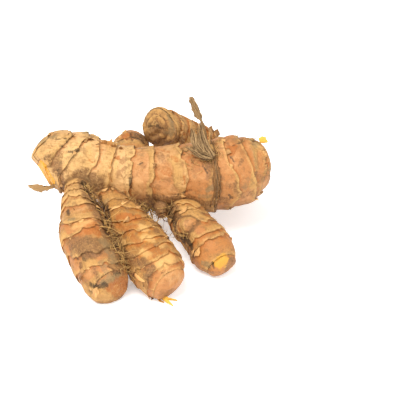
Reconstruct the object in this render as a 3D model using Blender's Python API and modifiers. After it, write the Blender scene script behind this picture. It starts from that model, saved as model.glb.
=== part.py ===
"""A hand of fresh turmeric: a ringed rhizome that stands on its own fingers, with a dry leaf sheath.

Metres, +Z up. Seen along +Y, the main rhizome lies left to right and its front fingers point at the viewer.
The sizes below are in millimetres, and become metres where a shape is made.
"""
import math

import bmesh
import bpy
import numpy as np
from mathutils import Vector

MM = 0.001

# The middle of the hand's footprint, which becomes the origin
CENTRE_X = 0.52
CENTRE_Y = -1.26

# Each branch runs from its root to its tip through stations of (x, y, z, radius).
# "internodes" are the lengths between leaf rings from the root on, stretched to fill the branch.
# "domes" are the lengths of the rounded ends, 0 for an end that is sunk in another branch.
BRANCHES = {
    "main": {
        "stations": [(-42.8, 3.0, 28.6, 5.4), (-40.9, 2.0, 28.9, 8.2), (-37.0, 0.5, 29.3, 10.5),
                     (-30.7, 0.0, 29.3, 11.6), (-10.0, 0.0, 23.7, 10.8), (7.0, 0.0, 23.0, 12.3),
                     (23.0, 0.5, 23.2, 13.4), (32.8, 2.0, 24.6, 13.0), (39.4, 3.5, 26.5, 10.2),
                     (42.8, 4.5, 27.8, 7.9), (44.2, 5.0, 28.2, 5.5)],
        "internodes": [3.2, 3.0, 6.1, 9.8, 8.3, 8.3, 7.5, 10.2, 11.5, 8.8, 7.5, 6.3],
        "domes": (1.6, 1.4),
        "sides": 26,
    },
    "front_left": {
        "stations": [(-26.5, -5.0, 25.5, 4.6), (-26.2, -12.0, 23.4, 5.0), (-25.6, -19.0, 20.9, 7.0),
                     (-23.7, -32.0, 16.3, 8.6), (-20.4, -40.5, 12.4, 9.3), (-17.2, -45.2, 9.0, 9.3),
                     (-14.6, -49.2, 6.9, 7.9)],
        "internodes": [9.3, 4.4, 7.5, 5.1, 6.0, 5.9, 5.6, 6.2, 6.7],
        "domes": (0.0, 5.2),
        "sides": 18,
    },
    "front_middle": {
        "stations": [(-15.5, -4.0, 21.5, 5.2), (-13.4, -12.0, 17.6, 5.4), (-9.6, -19.5, 15.0, 7.6),
                     (-2.7, -33.0, 11.4, 9.2), (1.8, -41.0, 9.4, 9.7), (5.5, -47.0, 7.9, 8.7),
                     (7.6, -49.6, 6.8, 6.9)],
        "internodes": [6.2, 4.8, 4.6, 4.8, 4.7, 4.8, 4.4, 4.4, 7.8, 9.0],
        "domes": (0.0, 3.0),
        "sides": 18,
    },
    "front_right": {
        "stations": [(8.6, -3.5, 18.6, 5.2), (11.0, -10.0, 14.8, 5.6), (13.6, -16.0, 13.2, 7.4),
                     (21.3, -27.2, 8.8, 8.1), (24.6, -31.4, 6.7, 7.3), (26.7, -34.6, 5.0, 5.4)],
        "internodes": [5.0, 4.5, 6.5, 11.0, 10.0, 5.6],
        "domes": (0.0, 3.0),
        "sides": 18,
    },
    "back_right": {
        "stations": [(31.5, 8.0, 20.0, 6.6), (33.5, 22.0, 13.5, 6.9), (30.5, 35.5, 8.4, 7.7),
                     (24.0, 43.5, 7.2, 8.0), (17.0, 42.5, 14.4, 7.7), (10.2, 38.2, 21.4, 6.9),
                     (4.2, 33.4, 26.1, 7.4), (2.1, 30.0, 28.1, 7.3)],
        "internodes": [10.0, 9.0, 8.5, 8.0, 7.0, 6.5, 6.0, 3.2, 3.0, 3.0, 5.0, 4.0],
        "domes": (0.0, 5.0),
        "sides": 18,
    },
    "back_left": {
        "stations": [(-8.6, 6.0, 22.3, 5.6), (-8.7, 16.0, 22.3, 6.0), (-9.1, 27.0, 20.5, 6.6),
                     (-10.2, 37.5, 12.2, 7.4), (-11.2, 46.5, 5.6, 7.1)],
        "internodes": [8.0, 6.5, 6.0, 7.0, 6.5, 6.0, 5.0],
        "domes": (0.0, 5.0),
        "sides": 16,
    },
    "bud_front": {
        "stations": [(12.0, -22.0, 12.6, 3.4), (14.2, -25.0, 15.4, 4.2), (15.0, -26.4, 16.6, 3.6)],
        "internodes": [3.0, 2.5, 2.0],
        "domes": (0.0, 1.6),
        "sides": 10,
    },
    "bud_under": {
        "stations": [(2.6, -4.0, 19.0, 4.0), (3.4, -9.5, 16.4, 3.4), (4.2, -13.5, 13.6, 1.9)],
        "internodes": [4.0, 3.5, 4.0],
        "domes": (0.0, 1.2),
        "sides": 10,
    },
}

# Relief of one internode, from ring to ring: it comes out from under the last scale's edge and rises to
# the raised edge of its own scale. (share of the internode, height)
INTERNODE_RELIEF = [(0.0, -0.3), (0.3, 0.05), (0.72, 0.25), (0.94, 0.5)]

# Where the rings of a rounded end lie, as shares of its length
DOME_STEPS = (0.4, 0.72, 0.93, 0.995)

# The lumps that make each branch uneven: slow bends of the whole hand and shorter swellings
BEND_SEED = 11
BEND_WAVES = 5
BEND_LENGTH = 46.0
BEND_HEIGHT = 0.3
LUMP_WAVES = 7
LUMP_LENGTH = 15.0
LUMP_HEIGHT = 0.13

# The cut at the left end, where a piece was broken off and shows the flesh
CUT_POINT = (-37.7, -9.2, 30.1)
CUT_NORMAL = (-0.81, -0.47, -0.34)
CUT_KNIFE = 40.0

# The block that cuts the small flat feet, its top face on the surface that the hand rests on
FLOOR_KNIFE = 200.0

# The dry leaf sheath: a collar round the main rhizome's dark ring, with two tongues and a thin blade
# Angles run from the back over the top (90) and the front (180) to the underside
COLLAR_RING = 9
COLLAR_WIDTH = 2.3
COLLAR_END_WIDTH = 1.2
COLLAR_FROM = 66.0
COLLAR_TO = 240.0
COLLAR_LIFT = 0.85
COLLAR_STEPS = 30
# Where the collar's rows lie beside the ring, as shares of its width
COLLAR_ROWS = (-0.3, 0.03, 0.36, 0.7)
SHEATH_THICK = 0.7
STRIP_CUP = 0.35
# Centre lines of the tongues and the blade: (x, y, z, width)
SHEATH_STRIPS = {
    "tongue_front": [(22.4, -6.2, 36.5, 3.6), (19.9, -5.6, 39.7, 4.4), (18.6, -4.2, 43.7, 3.2),
                     (17.6, -3.2, 47.0, 1.8)],
    "tongue_back": [(22.8, -3.6, 37.7, 3.0), (18.8, -3.6, 40.9, 3.4), (16.2, -3.4, 43.5, 2.6),
                    (14.8, -3.0, 45.6, 1.4)],
    "blade": [(22.9, -4.4, 37.5, 1.6), (21.3, -3.6, 40.0, 1.2), (20.2, -2.8, 44.0, 1.2),
              (18.8, -2.4, 47.0, 1.2), (17.6, -2.2, 49.0, 2.2), (16.7, -2.0, 51.2, 2.8),
              (15.9, -2.0, 53.6, 2.6), (15.2, -2.0, 57.0, 1.6)],
}

# Points closer than this, in metres, are one point
WELD = 0.00001
# Edges that turn more than this, in degrees, stay sharp
SHARP_ANGLE = 50.0

MATERIALS = {
    "rhizome": {"colour": (0.76, 0.42, 0.17, 1.0), "roughness": 0.72},
    "leaf_sheath": {"colour": (0.30, 0.20, 0.10, 1.0), "roughness": 0.85},
}


def clear_scene():
    for item in list(bpy.data.objects):
        bpy.data.objects.remove(item, do_unlink=True)


def new_collection(name):
    group = bpy.data.collections.new(name)
    bpy.context.scene.collection.children.link(group)
    return group


def smooth_path(points, per_span=24):
    """Catmull-Rom curve through the points, as rows of numbers."""
    rows = np.array(points, dtype=float)
    ends = np.vstack([2.0 * rows[0] - rows[1], rows, 2.0 * rows[-1] - rows[-2]])
    spans = []
    for index in range(len(rows) - 1):
        before, start, end, after = ends[index:index + 4]
        t = np.linspace(0.0, 1.0, per_span, endpoint=False)[:, None]
        spans.append(0.5 * (2.0 * start + (end - before) * t
                            + (2.0 * before - 5.0 * start + 4.0 * end - after) * t ** 2
                            + (3.0 * start - before - 3.0 * end + after) * t ** 3))
    spans.append(rows[-1:])
    return np.vstack(spans)


def walk_path(path, places):
    """Position and radius at distances along the path. Past an end it runs on straight."""
    steps = np.linalg.norm(np.diff(path[:, :3], axis=0), axis=1)
    walked = np.concatenate([[0.0], np.cumsum(steps)])
    inside = np.clip(places, 0.0, walked[-1])
    rows = np.stack([np.interp(inside, walked, path[:, axis]) for axis in range(4)], axis=1)
    beyond = (places - inside)[:, None]
    first = (path[1, :3] - path[0, :3]) / steps[0]
    last = (path[-1, :3] - path[-2, :3]) / steps[-1]
    rows[:, :3] += np.where(beyond < 0.0, beyond * first, beyond * last)
    return rows


def path_length(path):
    return float(np.linalg.norm(np.diff(path[:, :3], axis=0), axis=1).sum())


def ring_places(branch, length):
    shares = np.array(branch["internodes"])
    return np.concatenate([[0.0], np.cumsum(shares)]) * length / shares.sum()


def ring_relief(places, rings):
    """Height of the scales and creases at distances along a branch."""
    knots = []
    heights = []
    for start, end in zip(rings[:-1], rings[1:]):
        for share, height in INTERNODE_RELIEF:
            knots.append(start + share * (end - start))
            heights.append(height)
    return np.interp(places, knots, heights)


def branch_rows(branch):
    """Centre and radius of every ring of vertices along a branch."""
    path = smooth_path(branch["stations"])
    length = path_length(path)
    rings = ring_places(branch, length)
    start_dome, end_dome = branch["domes"]
    places = [0.0, length]
    for start, end in zip(rings[:-1], rings[1:]):
        places += [start + share * (end - start) for share, _ in INTERNODE_RELIEF]
    places += [-start_dome * step for step in DOME_STEPS if start_dome]
    places += [length + end_dome * step for step in DOME_STEPS if end_dome]
    places = np.array(sorted(set(round(place, 3) for place in places)))
    rows = walk_path(path, places)
    past_start = np.clip(-places / max(start_dome, 0.001), 0.0, 1.0)
    past_end = np.clip((places - length) / max(end_dome, 0.001), 0.0, 1.0)
    dome = np.sqrt(1.0 - past_start ** 2) * np.sqrt(1.0 - past_end ** 2)
    rows[:, 3] = (rows[:, 3] + ring_relief(places, rings)) * dome
    return rows


def waves(rng, count, length):
    """Wave vectors, phases and directions of a sum of sine waves."""
    heading = rng.normal(size=(count, 3))
    heading /= np.linalg.norm(heading, axis=1)[:, None]
    vectors = heading * (2.0 * math.pi / (length * rng.uniform(0.75, 1.35, count)))[:, None]
    phases = rng.uniform(0.0, 2.0 * math.pi, count)
    pushes = rng.normal(size=(count, 3))
    return vectors, phases, pushes


def place(points):
    """Bend points, in millimetres, by the seeded waves that make the hand uneven, and centre them."""
    rng = np.random.default_rng(BEND_SEED)
    moved = points.copy()
    for count, length, height in ((BEND_WAVES, BEND_LENGTH, BEND_HEIGHT),
                                  (LUMP_WAVES, LUMP_LENGTH, LUMP_HEIGHT)):
        vectors, phases, pushes = waves(rng, count, length)
        moved += height * np.sin(points @ vectors.T + phases) @ pushes
    return moved - np.array([CENTRE_X, CENTRE_Y, 0.0])


def place_mesh(mesh):
    count = len(mesh.vertices)
    flat = np.empty(count * 3)
    mesh.vertices.foreach_get("co", flat)
    moved = place(flat.reshape(count, 3) / MM) * MM
    mesh.vertices.foreach_set("co", moved.ravel())
    mesh.update()


def weld(mesh, distance):
    work = bmesh.new()
    work.from_mesh(mesh)
    bmesh.ops.remove_doubles(work, verts=work.verts, dist=distance)
    bmesh.ops.recalc_face_normals(work, faces=work.faces)
    work.to_mesh(mesh)
    work.free()


def baked_mesh(item):
    """The object's mesh with its modifiers applied."""
    depsgraph = bpy.context.evaluated_depsgraph_get()
    return bpy.data.meshes.new_from_object(item.evaluated_get(depsgraph))


def make_branch(name, branch, group):
    """A bevelled curve with a radius at each point, turned into a closed mesh."""
    rows = branch_rows(branch)
    curve = bpy.data.curves.new(name, "CURVE")
    curve.dimensions = "3D"
    curve.fill_mode = "FULL"
    curve.bevel_depth = MM
    curve.bevel_resolution = (branch["sides"] - 4) // 2
    curve.use_fill_caps = True
    spline = curve.splines.new("POLY")
    spline.points.add(len(rows) - 1)
    for point, (x, y, z, radius) in zip(spline.points, rows):
        point.co = (x * MM, y * MM, z * MM, 1.0)
        point.radius = radius
    tube = bpy.data.objects.new(name + "_curve", curve)
    group.objects.link(tube)
    bpy.context.view_layer.update()
    mesh = baked_mesh(tube)
    item = bpy.data.objects.new(name, mesh)
    group.objects.link(item)
    item.matrix_world = tube.matrix_world
    bpy.data.objects.remove(tube, do_unlink=True)
    weld(mesh, WELD)
    place_mesh(mesh)
    return item


def apply_boolean(item, other, operation, solver="EXACT"):
    step = item.modifiers.new("join", "BOOLEAN")
    step.operation = operation
    step.solver = solver
    step.object = other
    bpy.context.view_layer.update()
    mesh = baked_mesh(item)
    item.modifiers.remove(step)
    item.data = mesh


def make_box(name, size, group):
    mesh = bpy.data.meshes.new(name)
    work = bmesh.new()
    bmesh.ops.create_cube(work, size=size * MM)
    work.to_mesh(mesh)
    work.free()
    box = bpy.data.objects.new(name, mesh)
    group.objects.link(box)
    box.hide_render = True
    box.display_type = "WIRE"
    return box


def make_material(name):
    look = MATERIALS[name]
    material = bpy.data.materials.new(name)
    material.use_nodes = True
    shader = material.node_tree.nodes["Principled BSDF"]
    shader.inputs["Base Color"].default_value = look["colour"]
    shader.inputs["Roughness"].default_value = look["roughness"]
    shader.inputs["Metallic"].default_value = 0.0
    return material


def make_rhizome(parts, cutters):
    """All branches joined, with the cut end and flat feet."""
    main = make_branch("rhizome", BRANCHES["main"], parts)

    normal = np.array(CUT_NORMAL) / np.linalg.norm(CUT_NORMAL)
    knife = make_box("cut_knife", CUT_KNIFE, cutters)
    knife.rotation_mode = "QUATERNION"
    knife.rotation_quaternion = Vector(normal.tolist()).to_track_quat("Z", "Y")
    middle = np.array(CUT_POINT) + normal * CUT_KNIFE / 2.0 - np.array([CENTRE_X, CENTRE_Y, 0.0])
    knife.location = middle * MM
    bpy.context.view_layer.update()
    apply_boolean(main, knife, "DIFFERENCE")

    for name, branch in BRANCHES.items():
        if name == "main":
            continue
        finger = make_branch(name, branch, cutters)
        finger.hide_render = True
        finger.display_type = "WIRE"
        apply_boolean(main, finger, "UNION")
        bpy.data.objects.remove(finger, do_unlink=True)

    floor = make_box("floor_knife", FLOOR_KNIFE, cutters)
    floor.location = (0.0, 0.0, -FLOOR_KNIFE / 2.0 * MM)
    bpy.context.view_layer.update()
    apply_boolean(main, floor, "DIFFERENCE")
    return main


def grid_mesh(name, points):
    """An open surface over a grid of points in millimetres."""
    rows, columns = points.shape[:2]
    faces = []
    for row in range(rows - 1):
        for column in range(columns - 1):
            corner = row * columns + column
            faces.append((corner, corner + 1, corner + columns + 1, corner + columns))
    mesh = bpy.data.meshes.new(name)
    mesh.from_pydata((place(points.reshape(-1, 3)) * MM).tolist(), [], faces)
    return mesh


def solid_sheet(name, points, group):
    """A thin closed solid: the grid surface with its thickness on the side its faces look to."""
    item = bpy.data.objects.new(name, grid_mesh(name, points))
    group.objects.link(item)
    thick = item.modifiers.new("thick", "SOLIDIFY")
    thick.thickness = SHEATH_THICK * MM
    thick.offset = 1.0
    bpy.context.view_layer.update()
    mesh = baked_mesh(item)
    item.modifiers.clear()
    item.data = mesh
    return item


def make_sheath(parts):
    """The torn collar round the dark ring, joined with its tongues and blade."""
    main = BRANCHES["main"]
    path = smooth_path(main["stations"])
    ring = ring_places(main, path_length(path))[COLLAR_RING]
    around = np.linspace(0.0, 1.0, COLLAR_STEPS)
    angles = np.radians(COLLAR_FROM + (COLLAR_TO - COLLAR_FROM) * around)
    width = COLLAR_END_WIDTH + (COLLAR_WIDTH - COLLAR_END_WIDTH) * np.sin(math.pi * around ** 0.6)
    points = []
    for share in COLLAR_ROWS:
        places = ring + share * width
        rows = walk_path(path, places)
        along = walk_path(path, places + 0.5)[:, :3] - walk_path(path, places - 0.5)[:, :3]
        along /= np.linalg.norm(along, axis=1)[:, None]
        back = np.cross([0.0, 0.0, 1.0], along)
        back /= np.linalg.norm(back, axis=1)[:, None]
        up = np.cross(along, back)
        spokes = np.cos(angles)[:, None] * back + np.sin(angles)[:, None] * up
        points.append(rows[:, :3] + (rows[:, 3] + COLLAR_LIFT)[:, None] * spokes)
    collar = solid_sheet("leaf_sheath", np.array(points), parts)
    for name, strip in SHEATH_STRIPS.items():
        ribbon = solid_sheet(name, strip_points(strip), parts)
        apply_boolean(collar, ribbon, "UNION")
        bpy.data.objects.remove(ribbon, do_unlink=True)
    return collar


def strip_points(strip):
    """A ribbon along a centre line, seen broad from the front and a little cupped."""
    line = smooth_path(strip, 3)
    across = np.linspace(-0.5, 0.5, 4)
    width = line[:, 3][:, None] * across[None, :]
    cup = STRIP_CUP * (1.0 - (2.0 * across) ** 2)
    points = np.repeat(line[:, None, :3], len(across), axis=1)
    points[:, :, 0] += width
    points[:, :, 1] -= cup[None, :]
    return points


def finish(item, name):
    item.data.materials.clear()
    item.data.materials.append(make_material(name))
    item.data.shade_smooth()
    item.data.set_sharp_from_angle(angle=math.radians(SHARP_ANGLE))


def main():
    clear_scene()
    parts = new_collection("turmeric_root")
    cutters = new_collection("cutters")
    finish(make_rhizome(parts, cutters), "rhizome")
    finish(make_sheath(parts), "leaf_sheath")
    for item in parts.objects:
        triangles = sum(len(face.vertices) - 2 for face in item.data.polygons)
        corners = np.array([vertex.co for vertex in item.data.vertices]) / MM
        print(item.name, triangles, corners.min(axis=0).round(2), corners.max(axis=0).round(2))


main()
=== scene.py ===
import math

import bpy
import numpy as np
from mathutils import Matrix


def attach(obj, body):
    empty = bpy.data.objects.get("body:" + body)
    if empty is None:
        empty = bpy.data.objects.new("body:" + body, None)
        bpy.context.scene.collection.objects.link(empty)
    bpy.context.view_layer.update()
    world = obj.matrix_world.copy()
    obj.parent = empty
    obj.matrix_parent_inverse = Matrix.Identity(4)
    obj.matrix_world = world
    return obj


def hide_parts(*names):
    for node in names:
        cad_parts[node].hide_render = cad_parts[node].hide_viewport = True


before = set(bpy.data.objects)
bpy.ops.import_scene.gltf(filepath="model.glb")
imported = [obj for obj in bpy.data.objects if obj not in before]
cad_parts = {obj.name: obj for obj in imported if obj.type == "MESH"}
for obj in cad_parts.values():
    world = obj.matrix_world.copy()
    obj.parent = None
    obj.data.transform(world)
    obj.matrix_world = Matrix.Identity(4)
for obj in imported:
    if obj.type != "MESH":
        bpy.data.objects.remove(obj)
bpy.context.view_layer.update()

mm = 0.001

# The middle of the hand's footprint, as in the CAD model
centre = np.array([0.52, -1.26, 0.0])

# Camera: looks along +Y and down on the hand, from as far as the photograph was taken
camera = {"target": (18.4, 0.0, 12.5), "distance": 574.5, "elevation": 30.0, "lens": 135.0}

# Each branch runs from its root to its tip through stations of (x, y, z, radius), in millimetres.
# "rings" are the places of the leaf rings along it, "domes" the lengths of the rounded ends, "cover" how
# much of each internode its dry scale still covers and "tones" how its bare skin looks: 0 pale, 1 deep
# pink, 2 ochre. "edges" draws a ring's scale edge where it wanders: (angle round the branch in
# degrees, place). "level" is the direction that the angles are measured from, where it isn't found
# from the path.
branches = {
    "main": {
        "stations": [(-42.8, 3.0, 28.6, 5.4), (-40.9, 2.0, 28.9, 8.2), (-37.0, 0.5, 29.3, 10.5),
                     (-30.7, 0.0, 29.3, 11.6), (-10.0, 0.0, 23.7, 10.8), (7.0, 0.0, 23.0, 12.3),
                     (23.0, 0.5, 23.2, 13.4), (32.8, 2.0, 24.6, 13.0), (39.4, 3.5, 26.5, 10.2),
                     (42.8, 4.5, 27.8, 7.9), (44.2, 5.0, 28.2, 5.5)],
        "rings": [0.0, 3.2, 6.2, 12.4, 22.2, 29.2, 37.1, 45.3, 56.6, 68.0, 75.0, 82.6, 87.6, 90.2],
        "cover": [1.0, 1.0, 1.0, 0.95, 0.85, 0.6, 0.5, 0.35, 0.45, 0.3, 0.25, 0.35, 0.6],
        "tones": [0.45, 0.35, 0.3, 0.25, 0.35, 0.15, 0.75, 0.8, 1.05, 0.9, 1.05, 1.0, 0.9],
        "domes": (1.6, 1.4), "rim": 0.55, "columns": 150, "seed": 3,
        "level": (-0.0782, -0.1978, 0.9771),
        "edges": {
            1: [(262, 8.0), (281, 6.0), (294, 4.2), (320, 2.5), (335, 3.2)],
            2: [(262, 12.0), (287, 10.4), (298, 9.6), (315, 8.8), (327, 8.6), (335, 6.9), (349, 5.0)],
            3: [(258, 18.6), (270, 15.8), (290, 14.8), (304, 13.9), (316, 13.0), (329, 12.6), (343, 11.8),
                (359, 11.5), (380, 12.3), (399, 13.0)],
            4: [(262, 22.4), (291, 22.3), (309, 22.2), (324, 21.3), (340, 21.1), (352, 22.3), (364, 24.3),
                (374, 26.0), (391, 27.0)],
            5: [(277, 28.4), (299, 28.5), (316, 28.9), (334, 29.2), (345, 29.1), (359, 30.0), (391, 31.0)],
            6: [(275, 36.9), (291, 36.6), (310, 36.9), (325, 37.4), (353, 36.8), (370, 37.5), (391, 36.8)],
            7: [(271, 45.6), (298, 45.7), (316, 45.4), (334, 44.6), (350, 44.5), (371, 45.3)],
            8: [(257, 53.6), (290, 56.0), (306, 57.3), (322, 57.7), (337, 56.5), (353, 56.2), (369, 55.6)],
            9: [(280, 68.5), (302, 68.2), (314, 68.6), (330, 68.6), (343, 68.1), (356, 67.3), (373, 66.6)],
            10: [(285, 73.9), (302, 74.1), (317, 75.4), (327, 76.5), (350, 75.8), (355, 76.8), (365, 75.0),
                 (374, 73.0), (389, 72.2)],
            11: [(255, 81.7), (281, 82.2), (299, 82.5), (327, 83.0), (355, 83.0), (369, 81.8), (385, 80.4)],
            12: [(263, 88.0), (298, 89.6), (346, 88.5), (361, 86.8), (373, 84.6), (387, 82.4)],
        },
    },
    "frontLeft": {
        "stations": [(-26.5, -5.0, 25.5, 4.6), (-26.2, -12.0, 23.4, 5.0), (-25.6, -19.0, 20.9, 7.0),
                     (-23.7, -32.0, 16.3, 8.6), (-20.4, -40.5, 12.4, 9.3), (-17.2, -45.2, 9.0, 9.3),
                     (-14.6, -49.2, 6.9, 7.9)],
        "rings": [0.0, 8.4, 12.5, 17.5, 21.8, 28.6, 33.3, 41.0, 46.5, 51.1],
        "cover": [1.0, 1.0, 1.0, 0.9, 0.6, 0.7, 0.7, 0.5, 0.7],
        "tones": [0.7, 0.6, 0.6, 0.6, 0.8, 1.0, 1.1, 1.1, 0.9],
        "domes": (0.0, 5.2), "rim": 0.26, "columns": 104, "seed": 21,
        "edges": {
            3: [(260, 19.1), (266, 17.6), (302, 17.6), (326, 15.4)],
            4: [(260, 20.6), (279, 21.1), (293, 22.1), (314, 22.0), (340, 19.8)],
            5: [(265, 29.0), (287, 28.8), (310, 29.4), (329, 28.4), (364, 25.4)],
            6: [(279, 32.8), (295, 33.1), (316, 34.0), (339, 33.7), (358, 32.2)],
            7: [(261, 41.6), (285, 41.2), (306, 41.6), (326, 40.8), (344, 39.8), (356, 38.2), (370, 36.4)],
            8: [(278, 49.2), (302, 47.4), (324, 44.5), (354, 43.2), (378, 41.9)],
        },
    },
    "frontMiddle": {
        "stations": [(-15.5, -4.0, 21.5, 5.2), (-13.4, -12.0, 17.6, 5.4), (-9.6, -19.5, 15.0, 7.6),
                     (-2.7, -33.0, 11.4, 9.2), (1.8, -41.0, 9.4, 9.7), (5.5, -47.0, 7.9, 8.7),
                     (7.6, -49.6, 6.8, 6.9)],
        "rings": [0.0, 6.0, 11.5, 17.5, 24.0, 30.0, 36.5, 42.0, 48.0, 51.6, 54.1],
        "cover": [1.0, 0.9, 1.0, 0.9, 0.8, 0.75, 0.7, 0.7, 0.6, 0.2],
        "tones": [1.2, 1.4, 1.7, 2.2, 1.9, 2.0, 1.9, 1.7, 1.4, 0.9],
        "domes": (0.0, 3.0), "rim": 0.2, "columns": 104, "seed": 35,
        "edges": {
            2: [(237, 13.1), (259, 10.7), (292, 11.3)],
            3: [(208, 22.9), (239, 21.7), (255, 18.6), (271, 16.4), (292, 14.3)],
            4: [(183, 24.0), (216, 27.2), (254, 28.1), (280, 25.3), (301, 22.1)],
            5: [(196, 30.2), (222, 32.5), (256, 34.2), (288, 31.2), (321, 26.2)],
            6: [(220, 39.0), (253, 39.2), (277, 38.7), (305, 35.2), (335, 31.5)],
            7: [(213, 43.4), (239, 44.3), (261, 43.6), (280, 43.0), (306, 40.9), (331, 37.0)],
            8: [(220, 48.5), (257, 49.4), (276, 48.8), (299, 46.9), (323, 44.3)],
            9: [(206, 51.8), (227, 52.0), (253, 51.6), (276, 51.1), (301, 51.0)],
        },
    },
    "frontRight": {
        "stations": [(8.6, -3.5, 18.6, 5.2), (11.0, -10.0, 14.8, 5.6), (13.6, -16.0, 13.2, 7.4),
                     (21.3, -27.2, 8.8, 8.1), (24.6, -31.4, 6.7, 7.3), (26.7, -34.6, 5.0, 5.4)],
        "rings": [0.0, 5.5, 13.0, 16.3, 21.2, 28.8, 32.2, 38.9],
        "cover": [1.0, 1.0, 0.8, 0.7, 0.6, 0.4, 0.3],
        "tones": [1.2, 1.4, 1.5, 1.3, 1.2, 1.4, 1.3],
        "domes": (0.0, 3.0), "rim": 0.24, "columns": 96, "seed": 48,
        "edges": {
            2: [(253, 16.4), (261, 14.6), (284, 13.1), (313, 11.3)],
            3: [(242, 19.7), (259, 16.9), (283, 15.1), (308, 13.7)],
            4: [(257, 24.6), (275, 21.6), (291, 20.2), (319, 19.3)],
            5: [(255, 29.9), (282, 29.0), (314, 28.6), (349, 27.4)],
            6: [(262, 32.2), (287, 32.2), (313, 31.7), (349, 30.8)],
        },
    },
    "backRight": {
        "stations": [(31.5, 8.0, 20.0, 6.6), (33.5, 22.0, 13.5, 6.9), (30.5, 35.5, 8.4, 7.7),
                     (24.0, 43.5, 7.2, 8.0), (17.0, 42.5, 14.4, 7.7), (10.2, 38.2, 21.4, 6.9),
                     (4.2, 33.4, 26.1, 7.4), (2.1, 30.0, 28.1, 7.3)],
        "rings": [0.0, 10.3, 19.6, 28.3, 36.6, 43.8, 49.0, 52.8, 58.2, 63.8, 68.9, 75.3],
        "cover": [0.7, 0.5, 0.5, 0.6, 0.6, 0.7, 0.8, 0.7, 0.8, 0.9, 1.0],
        "tones": [1.0, 1.0, 1.0, 1.0, 1.2, 1.2, 1.4, 1.4, 1.2, 1.0, 0.8],
        "domes": (0.0, 5.0), "bud": 0.5, "columns": 92, "seed": 59,
        "edges": {},
    },
    "backLeft": {
        "stations": [(-8.6, 6.0, 22.3, 5.6), (-8.7, 16.0, 22.3, 6.0), (-9.1, 27.0, 20.5, 6.6),
                     (-10.2, 37.5, 12.2, 7.4), (-11.2, 46.5, 5.6, 7.1)],
        "rings": [0.0, 8.1, 14.6, 20.7, 27.7, 34.3, 40.3, 45.4],
        "cover": [0.8, 0.7, 0.6, 0.6, 0.5, 0.5, 0.5],
        "tones": [1.0, 1.2, 1.4, 1.2, 1.0, 1.0, 1.0],
        "domes": (0.0, 5.0), "columns": 88, "seed": 63,
        "edges": {
            2: [(119, 19.0), (155, 14.0), (203, 15.4)],
            3: [(126, 24.5), (142, 24.0), (166, 18.6), (200, 20.4)],
        },
    },
    "budFront": {
        "stations": [(12.0, -22.0, 12.6, 3.4), (14.2, -25.0, 15.4, 4.2), (15.0, -26.4, 16.6, 3.6)],
        "rings": [0.0, 3.6, 7.9],
        "cover": [0.7, 0.6],
        "tones": [1.0, 0.8],
        "domes": (0.0, 1.6), "columns": 44, "seed": 72,
        "edges": {},
    },
    "budUnder": {
        "stations": [(2.6, -4.0, 19.0, 4.0), (3.4, -9.5, 16.4, 3.4), (4.2, -13.5, 13.6, 1.9)],
        "rings": [0.0, 4.6, 11.1],
        "cover": [0.8, 0.8],
        "tones": [1.2, 1.2],
        "domes": (0.0, 1.2), "columns": 44, "seed": 87,
        "edges": {},
    },
}

# Relief of the skin, in millimetres
skin = {
    "rowStep": 0.5, "foot": -0.34, "rim": 0.42, "bulge": 0.26, "overhang": 0.34,
    "lobes": 0.45, "jag": 0.16, "tilt": 0.3, "bite": 1.1, "lump": 0.45, "ripple": 0.16,
    "leastGap": 0.9, "plainRim": 0.3, "lip": 0.04, "undercut": 0.3, "crease": 0.16,
}

# How far each kind of mark sinks or lifts the skin, in millimetres
markRelief = {"dark": -0.3, "cream": 0.22, "tan": 0.12, "rust": -0.35}
kinds = ("dark", "grey", "brown", "rust", "pink", "cream", "yellow", "tan", "scar")
softKinds = ("tan", "pink", "cream")

# The slow waves that bend the whole hand, as in the CAD model
bend = {"seed": 11, "sets": ((5, 46.0, 0.3), (7, 15.0, 0.13))}

# The cut at the left end, where a piece was broken off and shows the flesh
cut = {
    "point": (-37.7, -9.2, 30.1), "normal": (-0.81, -0.47, -0.34), "reach": 11.0,
    "long": (0.549, -0.424, -0.72), "middle": -0.3, "half": 4.9,
    "fuller": 1.5, "fullerFrom": -4.0, "fullerTo": -9.0, "crown": 0.7, "roughness": 0.15,
}

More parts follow.
